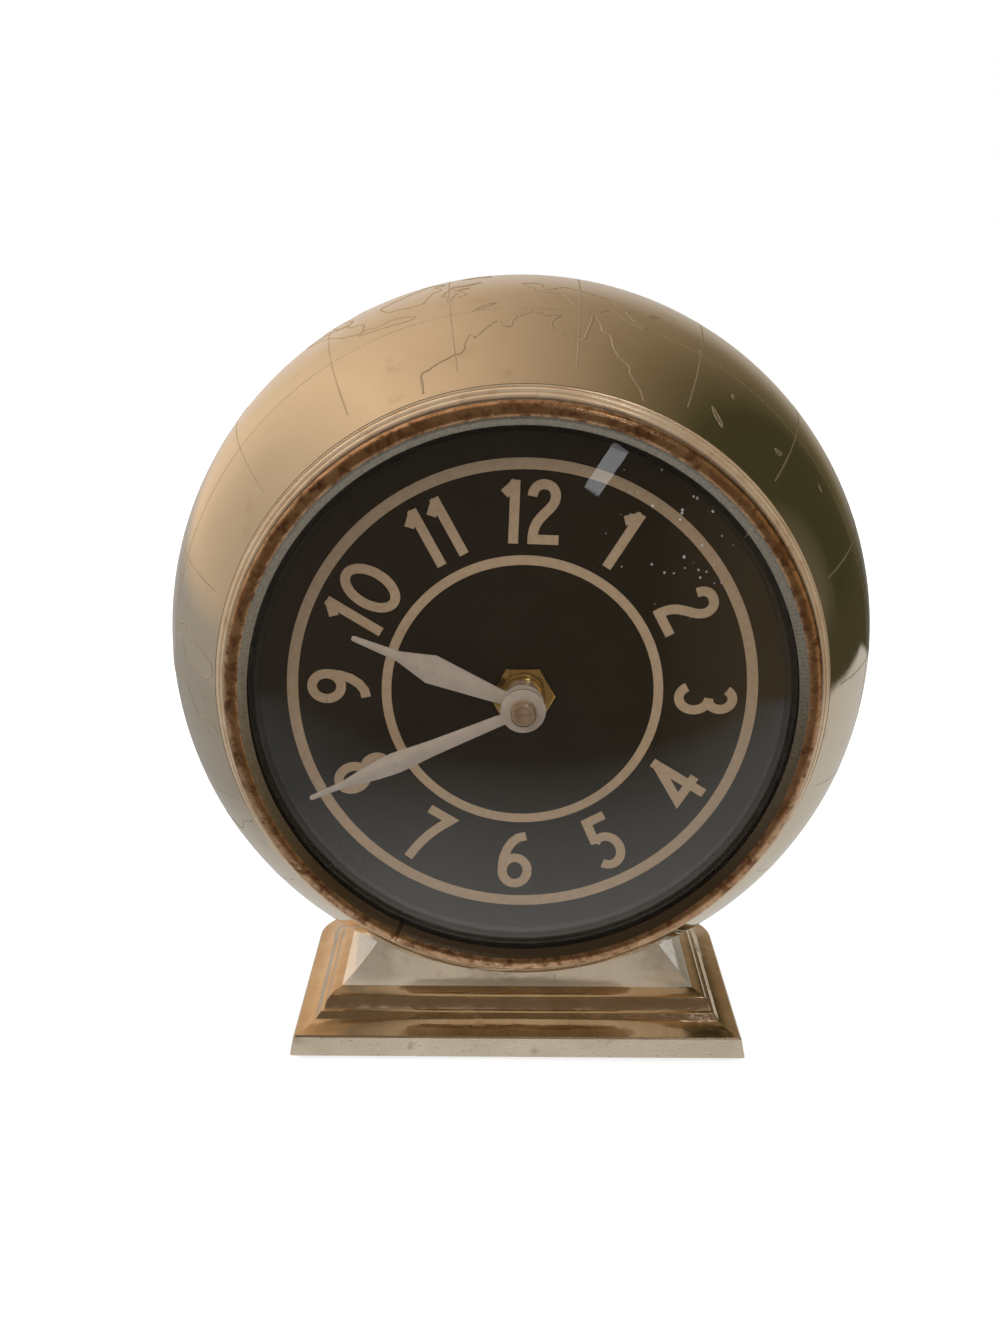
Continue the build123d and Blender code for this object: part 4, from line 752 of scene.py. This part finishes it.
# Front rim
# A turned ring soldered into the globe's opening: a fine groove, a rounded band, a crest and the bore for the
# insert. It is plated in a rose gold tone that has worn and darkened unevenly.
rim_bore, rim_wall, rim_depth, spigot_length = 57.0, 1.5, 14.2, 3.0
rim_step, rim_band, rim_recess = 0.55, 2.2, 0.25
step_front = opening_depth + rim_step
rim_front = step_front + rim_band
rim_back, spigot_back = opening_depth - rim_depth, opening_depth - spigot_length
tube_radius = rim_bore + rim_wall
spigot_radius = math.sqrt(globe_inner ** 2 - opening_depth ** 2) - seat_gap
rim_outline = [
    (rim_bore, rim_back), (tube_radius, rim_back), (tube_radius, spigot_back), (spigot_radius, spigot_back),
    (spigot_radius, opening_depth), (opening_radius - 0.25, opening_depth + 0.02),
    (opening_radius - 0.45, opening_depth + 0.22),
]
rim_face = [
    (opening_depth, [(60.72, 0.26), (60.6, 0.12), (60.42, 0.14)]),
    (step_front, [
        (60.32, -0.02), (60.46, 0.16), (60.58, 0.45), (60.56, 0.80), (60.38, 1.12), (60.10, 1.34), (59.86, 1.42),
        (59.74, 1.36), (59.66, 1.46), (59.62, 1.66), (59.50, 1.92), (59.30, 2.10),
    ]),
    (rim_front, [(59.08, -0.02), (58.86, -0.04), (58.66, -0.14), (58.52, -0.25), (rim_bore, -rim_recess)]),
]
rim_outline += [(radius, level + rise) for level, points in rim_face for radius, rise in points]
rose_gold = plated(
    "rose_gold", (0.80, 0.63, 0.45), (0.88, 0.73, 0.55), (0.16, 0.26), grain_size=0.45, bump=0.15, wave=0.15,
    pits=0.05, patina=(0.64, 0.46, 0.30), patina_size=6.0, patina_range=(0.56, 0.80), metallic=0.65,
)
spun("rim_ring", rim_outline, [rose_gold], "globe_and_base", "front_rim", segments=192, sharp=40)

# Movement holder and grip band
# A black moulded cup that carries the dial, the glass and the movement, and a rubber band that grips the bore.
black_plastic = mottled("black_plastic", (0.018, 0.018, 0.018), (0.028, 0.027, 0.026), 3.0, (0.38, 0.52), bump=0.25,
                        bump_size=0.25)
black_rubber = mottled("black_rubber", (0.014, 0.014, 0.014), (0.024, 0.024, 0.024), 2.0, (0.72, 0.9), bump=0.4,
                       bump_size=0.3)
refined("movement_holder", [black_plastic], "clock_insert")
refined("grip_band", [black_rubber], "clock_insert")

# Quartz movement
# A moulded tray with the train, the coil and the board inside, a cover held by four screws, and an AA cell.
white_plastic = mottled("white_plastic", (0.74, 0.72, 0.66), (0.82, 0.80, 0.75), 3.0, (0.35, 0.5), bump=0.15,
                        bump_size=0.4)
copper_wire = mottled("copper_wire", (0.62, 0.24, 0.09), (0.80, 0.38, 0.17), 0.5, (0.22, 0.38), metal=1.0, bump=0.8,
                      bump_size=0.12, stretch=(6, 1, 1))
board_green = mottled("board_laminate", (0.10, 0.22, 0.07), (0.16, 0.30, 0.10), 1.5, (0.3, 0.45), bump=0.2,
                      bump_size=0.3, coat=0.4)
chip_black = mottled("chip_resin", (0.012, 0.012, 0.012), (0.03, 0.03, 0.03), 0.7, (0.2, 0.35), bump=0.3)
magnet_grey = plated("magnet_grey", (0.24, 0.24, 0.25), (0.32, 0.31, 0.31), (0.4, 0.6), grain_size=0.2, bump=0.4)
cell_sleeve = mottled("cell_sleeve", (0.045, 0.055, 0.075), (0.060, 0.070, 0.095), 6.0, (0.25, 0.4), bump=0.1, coat=0.3)
insert = "clock_insert"
movement_pieces = [
    (black_plastic, "black_plastic", {"movement_case": insert, "movement_cover": insert, "set_knob": "setting_knob"}),
    (zinc, "inner_steel", {
        "cover_screws": insert, "stator": insert, "coil_core": insert, "quartz_can": insert,
        "contact_positive": insert, "contact_negative": insert, "friction_spring": "minute_hand_set",
    }),
    (white_plastic, "white_plastic", {
        "train_plate": insert, "coil_bobbin": insert, "rotor_pinion": "rotor",
        "intermediate_wheel": "intermediate_gear", "seconds_wheel": "seconds_gear", "third_wheel": "third_gear",
        "centre_wheel": "centre_gear", "minute_wheel": "motion_wheel", "set_arbor": "setting_knob",
        "hour_wheel": "hour_hand_set",
    }),
    (copper_wire, "copper_wire", {"coil_winding": insert}), (board_green, "board", {"circuit_board": insert}),
    (chip_black, "black_plastic", {"control_chip": insert}), (black_rubber, "black_rubber", {"dial_washer": insert}),
    (magnet_grey, "magnet", {"rotor_magnet": "rotor"}), (cell_sleeve, "battery_sleeve", {"battery": "battery_cell"}),
]
for material, slot, body_of in movement_pieces:
    for node, body in body_of.items():
        refined(node, [material], body)

# Dial
# A thin metal disc lacquered matt black. Two rings and the twelve numerals are screen-printed on it in beige; the
# whole print is turned about two degrees clockwise. The numerals from four to eight stand with their tops inward.
dial_radius, dial_hole, dial_thickness = 54.8, 4.1, 0.8
bead_radius, bead_sheet, bead_centre_radius, bead_lip, bead_lip_drop = 1.8, 0.6, 56.8, 54.0, 0.9
dome_radius, glass_thickness, glass_edge, surround_height = 100.0, 1.8, 55.2, 3.42
flange_front = rim_front - rim_recess + seat_gap + 0.6
bead_centre = flange_front + bead_radius * math.sin(math.radians(35)) + seat_gap
lip_back = bead_centre - bead_lip_drop + bead_sheet
glass_centre = lip_back - seat_gap - math.sqrt(dome_radius ** 2 - bead_lip ** 2)
glass_seat = glass_centre + math.sqrt((dome_radius - glass_thickness) ** 2 - glass_edge ** 2)
dial_front = glass_seat - seat_gap - surround_height
lacquer = mottled("black_lacquer", (0.0090, 0.0058, 0.0025), (0.0125, 0.0086, 0.0045), 7.0, (0.34, 0.42), shine=0.28)
ink = mottled("beige_ink", (0.48, 0.345, 0.225), (0.54, 0.395, 0.265), 1.2, (0.55, 0.7), bump=0.2, bump_size=0.25)
spun("dial_disc", [
    (dial_hole, dial_front - dial_thickness), (dial_hole, dial_front - 0.05), (dial_hole + 0.05, dial_front),
    (dial_radius - 0.1, dial_front), (dial_radius, dial_front - 0.1), (dial_radius, dial_front - dial_thickness),
], [lacquer], "clock_insert", "dial_plate", segments=128)

print_turn, print_height, ink_lift, stroke = 1.8, 0.03, 0.004, 1.9
numeral_height, numeral_gap, numeral_ring = 12.6, 1.45, 36.6
numeral_shift = {"12": 0.25, "1": -0.75}
ring_edges = {"dial_ring_outer": (44.7, 46.9), "dial_ring_inner": (26.18, 28.08)}


def stroke_strip(points, width):
    """The two sides of a flat stroke of even width along its points, with mitred joins and square ends."""
    sides = []
    for i, p in enumerate(points):
        here, before, after = (
            Vector(points[k]) for k in (i, max(i - 1, 0), min(i + 1, len(points) - 1))
        )
        d1 = (here - before).normalized() if i else (after - here).normalized()
        d2 = (after - here).normalized() if i < len(points) - 1 else d1
        side = Vector((-d1.y, d1.x))
        normal = (side + Vector((-d2.y, d2.x))).normalized()
        reach = normal * (width / 2 / max(normal.dot(side), 0.45))
        sides.append((here + reach, here - reach))
    return sides


# Each figure's width, and its strokes' centre lines: x to the right, y up from the foot, in millimetres
inner_top, inner_foot = numeral_height - stroke / 2, stroke / 2
figures = {
    "1": (3.4, [[(2.45, 0), (2.45, 12.3)], [(2.75, 11.85), (0.42, 9.52)]]),
    "2": (6.7, [
        smooth_path([
            (0.95, 9.3), (1.25, 10.5), (2.1, 11.4), (3.3, 11.65), (4.6, 11.2), (5.35, 10.0), (5.3, 8.6), (4.6, 7.3),
            (3.4, 6.0), (2.2, 4.5), (1.5, 2.9), (1.25, inner_foot),
        ], 3), [(0.35, inner_foot), (6.3, inner_foot)],
    ]),
    "3": (6.3, [
        arc((2.95, inner_top - 2.45), (2.15, 2.45), 150, -80, 20),
        arc((2.85, inner_foot + 3.0), (2.55, 3.0), 90, -150, 22),
    ]),
    "4": (7.2, [[(5.1, 0), (5.1, numeral_height)], [(4.9, numeral_height - 1.55), (0.9, 3.6), (7.1, 3.6)]]),
    "5": (6.4, [
        [(5.7, inner_top), (1.75, inner_top), (1.35, 6.7)],
        [(1.35, 6.7)] + arc((2.75, inner_foot + 3.25), (2.75, 3.25), 105, -140, 24),
    ]),
    "6": (7.1, [
        arc((3.55, inner_foot + 2.9), (2.6, 2.9), 0, 360, 32),
        [(0.95, inner_foot + 2.9), (0.97, 4.9), (1.15, 6.6), (1.75, 8.6), (2.8, 10.3), (4.1, 11.35), (5.6, 11.75)],
    ]),
    "7": (6.4, [[(0.5, inner_top), (5.55, inner_top), (4.25, 9.0), (3.25, 6.2), (2.6, 3.2), (2.3, 0)]]),
    "8": (6.6, [
        arc((3.3, inner_top - 2.35), (1.95, 2.35), 0, 360, 30),
        arc((3.3, inner_foot + 2.95), (2.4, 2.95), 0, 360, 32),
    ]),
    "0": (8.3, [arc((4.15, numeral_height / 2), (3.2, inner_top - numeral_height / 2), 0, 360, 40)]),
}
figures["9"] = (7.1, [[(7.1 - x, numeral_height - y) for x, y in part] for part in figures["6"][1]])


def printed(name, strips):
    """Flat strokes as a film of ink on the dial. Films that cross lie a little apart."""
    vertices, faces = [], []
    for order, sides in enumerate(strips):
        base = len(vertices)
        film = dial_front + print_height + ink_lift * (order % 3)
        for pair in sides:
            for depth in (film, dial_front + ink_lift):
                vertices += [(point.x, -depth, globe_height + point.y) for point in pair]
        last = base + 4 * (len(sides) - 1)
        for a in range(base, last, 4):
            b = a + 4
            faces += [
                (a, b, b + 1, a + 1), (a, a + 2, b + 2, b), (a + 1, b + 1, b + 3, a + 3), (a + 2, a + 3, b + 3, b + 2),
            ]
        faces += [(base, base + 1, base + 3, base + 2), (last, last + 2, last + 3, last + 1)]
    finish_mesh(name, vertices, faces, [ink], "clock_insert")


def numeral_strips(number, hour):
    """The strokes of one hour's number, placed round the dial with its top outward or inward."""
    x = numeral_shift.get(number, 0.0) - (sum(figures[c][0] + numeral_gap for c in number) - numeral_gap) / 2
    turn_by = math.radians(hour * 30 + print_turn)
    upright = -1 if 4 <= hour <= 8 else 1
    strips = []
    for c in number:
        width, paths = figures[c]
        for path in paths:
            placed = []
            for px, py in path:
                u, v = upright * (x + px), upright * (py - numeral_height / 2) + numeral_ring
                placed.append((
                    u * math.cos(turn_by) + v * math.sin(turn_by), v * math.cos(turn_by) - u * math.sin(turn_by),
                ))
            strips.append(stroke_strip(placed, stroke))
        x += width + numeral_gap
    return strips


printed("dial_numerals", [strip for hour in range(1, 13) for strip in numeral_strips(str(hour), hour)])
for name, (inner, outer) in ring_edges.items():
    low, top = dial_front + ink_lift, dial_front + print_height
    spun(name, [(inner, low), (inner, top), (outer, top), (outer, low)], [ink], "clock_insert")

# Bush and nut
# The movement's threaded brass bush comes through the dial, and a turned brass hexagon nut holds it.
brass = plated("turned_brass", (0.78, 0.55, 0.20), (0.86, 0.64, 0.28), (0.10, 0.20), grain_size=0.3, bump=0.2,
               patina=(0.45, 0.27, 0.09), patina_size=3.0)
refined("mounting_nut", [brass], "clock_insert", bevel=0.12)
refined("movement_bush", [brass], "clock_insert")

# Surround
# A dark conical ring between the dial and the glass, semi-matt, that holds the glass off the dial.
surround_paint = mottled("surround_paint", (0.016, 0.015, 0.014), (0.026, 0.024, 0.022), 3.0, (0.30, 0.45), bump=0.2)
surround_front = glass_seat - seat_gap
spun("surround_ring", [
    (52.0, dial_front), (52.05, dial_front + 0.12), (53.72, surround_front - 0.1), (53.85, surround_front),
    (glass_edge, surround_front), (glass_edge, dial_front),
], [surround_paint], "clock_insert", "dial_surround")

# Glass
# A ground and polished domed glass of even thickness, clear, with a few specks of dust on its upper right.
glass, tree = new_material("dome_glass")
clear = shade(tree, "BsdfPrincipled", {
    "Base Color": (1, 1, 1, 1), "Roughness": 0.0, "IOR": 1.45, "Transmission Weight": 1.0,
})
through = shade(tree, "BsdfTransparent", {"Color": (0.97, 0.97, 0.96, 1)})
dust_right, dust_up, dust_core, dust_end = 30, 36, 4.0, 22.0
dust_most, dust_cells, dust_cover = 0.135, 0.42, 0.55
dust_spot = object_mm(tree, start=(-dust_right, 0, -globe_height - dust_up))
flat_spot = shade(tree, "VectorMath", {0: dust_spot, 1: (1, 0, 1)}, operation="MULTIPLY")
dust_away = add_node(tree, "ShaderNodeVectorMath", {0: flat_spot}, operation="LENGTH").outputs["Value"]
grains = shade(tree, "TexVoronoi", {"Vector": dust_spot, "Scale": dust_cells})
dusty = sums(tree, "LESS_THAN", grains, spread(tree, dust_away, dust_end, dust_core, 0.0, dust_most))
dust = shade(tree, "BsdfDiffuse", {"Color": (0.55, 0.56, 0.60, 1)})
specked = blended(tree, sums(tree, "MULTIPLY", dusty, dust_cover), clear, dust)
in_shadow = add_node(tree, "ShaderNodeLightPath").outputs["Is Shadow Ray"]
add_node(tree, "ShaderNodeOutputMaterial", {"Surface": blended(tree, in_shadow, specked, through)})
dome_at, dome_inner = (0, glass_centre), dome_radius - glass_thickness
outer_edge_angle = math.degrees(math.acos(glass_edge / dome_radius))
inner_edge_angle = math.degrees(math.acos(glass_edge / dome_inner))
glass_outline = [(0, glass_centre + dome_radius)] + arc(dome_at, dome_radius, 90, outer_edge_angle, 24)[1:]
glass_outline += arc(dome_at, dome_inner, inner_edge_angle, 90, 24)[:-1] + [(0, glass_centre + dome_inner)]
spun("glass_dome", glass_outline, [glass], "clock_insert", "glass_crystal", segments=128, sharp=50)

# Bezel
# A strip of plated brass rolled to a hollow bead and bent to a ring, butted at seven o'clock. Its inner lip is
# turned down on the glass and is worn to a dull silver with fine marks from the roller. Towards its bottom the
# lip's colour is darkened with painted shade, for the dark reflection it shows there.
bead_at, bead_steps = (bead_centre_radius, bead_centre), 20
lip_front = lip_back + bead_sheet
lip_outline = [
    (55.35, bead_centre + 1.02), (54.95, bead_centre + 0.72), (54.35, lip_front + 0.16), (54.02, lip_front - 0.08),
    (54.0, lip_back),
]
bead_inside = arc(bead_at, bead_radius - bead_sheet, 135, -35, 14)
bead_outline = arc(bead_at, bead_radius, -35, 128, bead_steps) + lip_outline + bead_inside
marks = [0] * bead_steps + [1] * (len(lip_outline) + 1) + [0] * len(bead_inside)
roller_turns, lip_unshaded_height, lip_fully_shaded_height = 420.0, 10.0, -38.0
lip_metal, tree = new_material("rolled_lip")
centred = object_mm(tree, start=(0, 0, -globe_height))
spot = parted(tree, centred)
bearing = sums(tree, "ARCTAN2", spot["X"], spot["Z"])
roller_lines = sums(tree, "SINE", sums(tree, "MULTIPLY", bearing, roller_turns))
grit = clouds(tree, centred, 0.625, 5.0)
tone = ramp(tree, grit, [(0.34, (0.38, 0.36, 0.31)), (0.66, (0.56, 0.54, 0.49))])
# The lip's colour darkens from its top down to its bottom: painted shade, not tarnish.
principled(tree, {
    "Base Color": tinted(tree, spread(tree, spot["Z"], lip_unshaded_height, lip_fully_shaded_height), tone, (0.17, 0.135, 0.095, 1)),
    "Roughness": spread(tree, grit, 0.3, 0.7, 0.30, 0.44), "Metallic": 1.0,
    "Normal": relief(tree, roller_lines, 0.12, 0.05),
})
bead_metal = plated(
    "bead_metal", (0.50, 0.29, 0.165), (0.68, 0.44, 0.27), (0.12, 0.28), grain_size=0.4, bump=0.9, wave=0.30,
    pits=0.25, patina=(0.24, 0.12, 0.06), patina_size=4.0, patina_range=(0.46, 0.66),
)
seam_place, seam_press = 207.0, 0.22
spun("bezel_bead", bead_outline, [bead_metal, lip_metal], "clock_insert", "bezel_ring", segments=224,
     sharp=45, marks=marks, seam=(seam_place, seam_press, bead_at))

# Hands
# Stamped aluminium leaves, satin on top: the hour hand flat, the minute hand ridged and bent down a little. Each
# has a round hub pressed on a turned collet, and a cap nut with a dished face holds the minute hand. The collet's
# fine turned bands are painted into its colour as pale and dark rings: painted highlights and painted shade.
hand_metal = plated(
    "hand_metal", (0.58, 0.495, 0.43), (0.64, 0.56, 0.49), (0.32, 0.44), grain_size=0.3, bump=0.25,
    patina=(0.50, 0.42, 0.35), patina_size=3.5, patina_range=(0.60, 0.80), metallic=0.35,
)
hub_metal = plated(
    "hub_metal", (0.40, 0.28, 0.19), (0.50, 0.37, 0.27), (0.14, 0.26), grain_size=0.35, bump=0.25,
    patina=(0.38, 0.26, 0.17), patina_size=2.5, metallic=0.6,
)
turned_metal, tree = new_material("turned_hub")
band_pitch, hub_reach, flat_normal = 0.78, 4.4, 0.9
depth = parted(tree, object_mm(tree))["Y"]
# Pale and dark rings along the axis, in the colour only: painted highlights and shade of turned grooves.
painted_ring_shading = sums(tree, "SINE", sums(tree, "MULTIPLY", depth, 2 * math.pi / band_pitch))
tone = ramp(tree, sums(tree, "MULTIPLY_ADD", painted_ring_shading, 0.5), [
    (0.15, (0.26, 0.185, 0.125)), (0.45, (0.60, 0.50, 0.40)), (0.85, (0.74, 0.66, 0.58)),
])
principled(tree, {"Base Color": tone, "Roughness": 0.24, "Metallic": 0.55})
for node, body in (("hour_hand", "hour_hand_set"), ("minute_hand", "minute_hand_set")):
    hand = refined(node, [hand_metal, turned_metal], body, bevel=0.08)
    for face in hand.data.polygons:
        away = math.hypot(face.center.x, face.center.z - globe_height * mm)
        if away < hub_reach * mm and abs(face.normal.y) < flat_normal:
            face.material_index = 1
refined("hand_cap_nut", [hub_metal], "minute_hand_set")
refined("minute_arbor", [brass], "minute_hand_set")
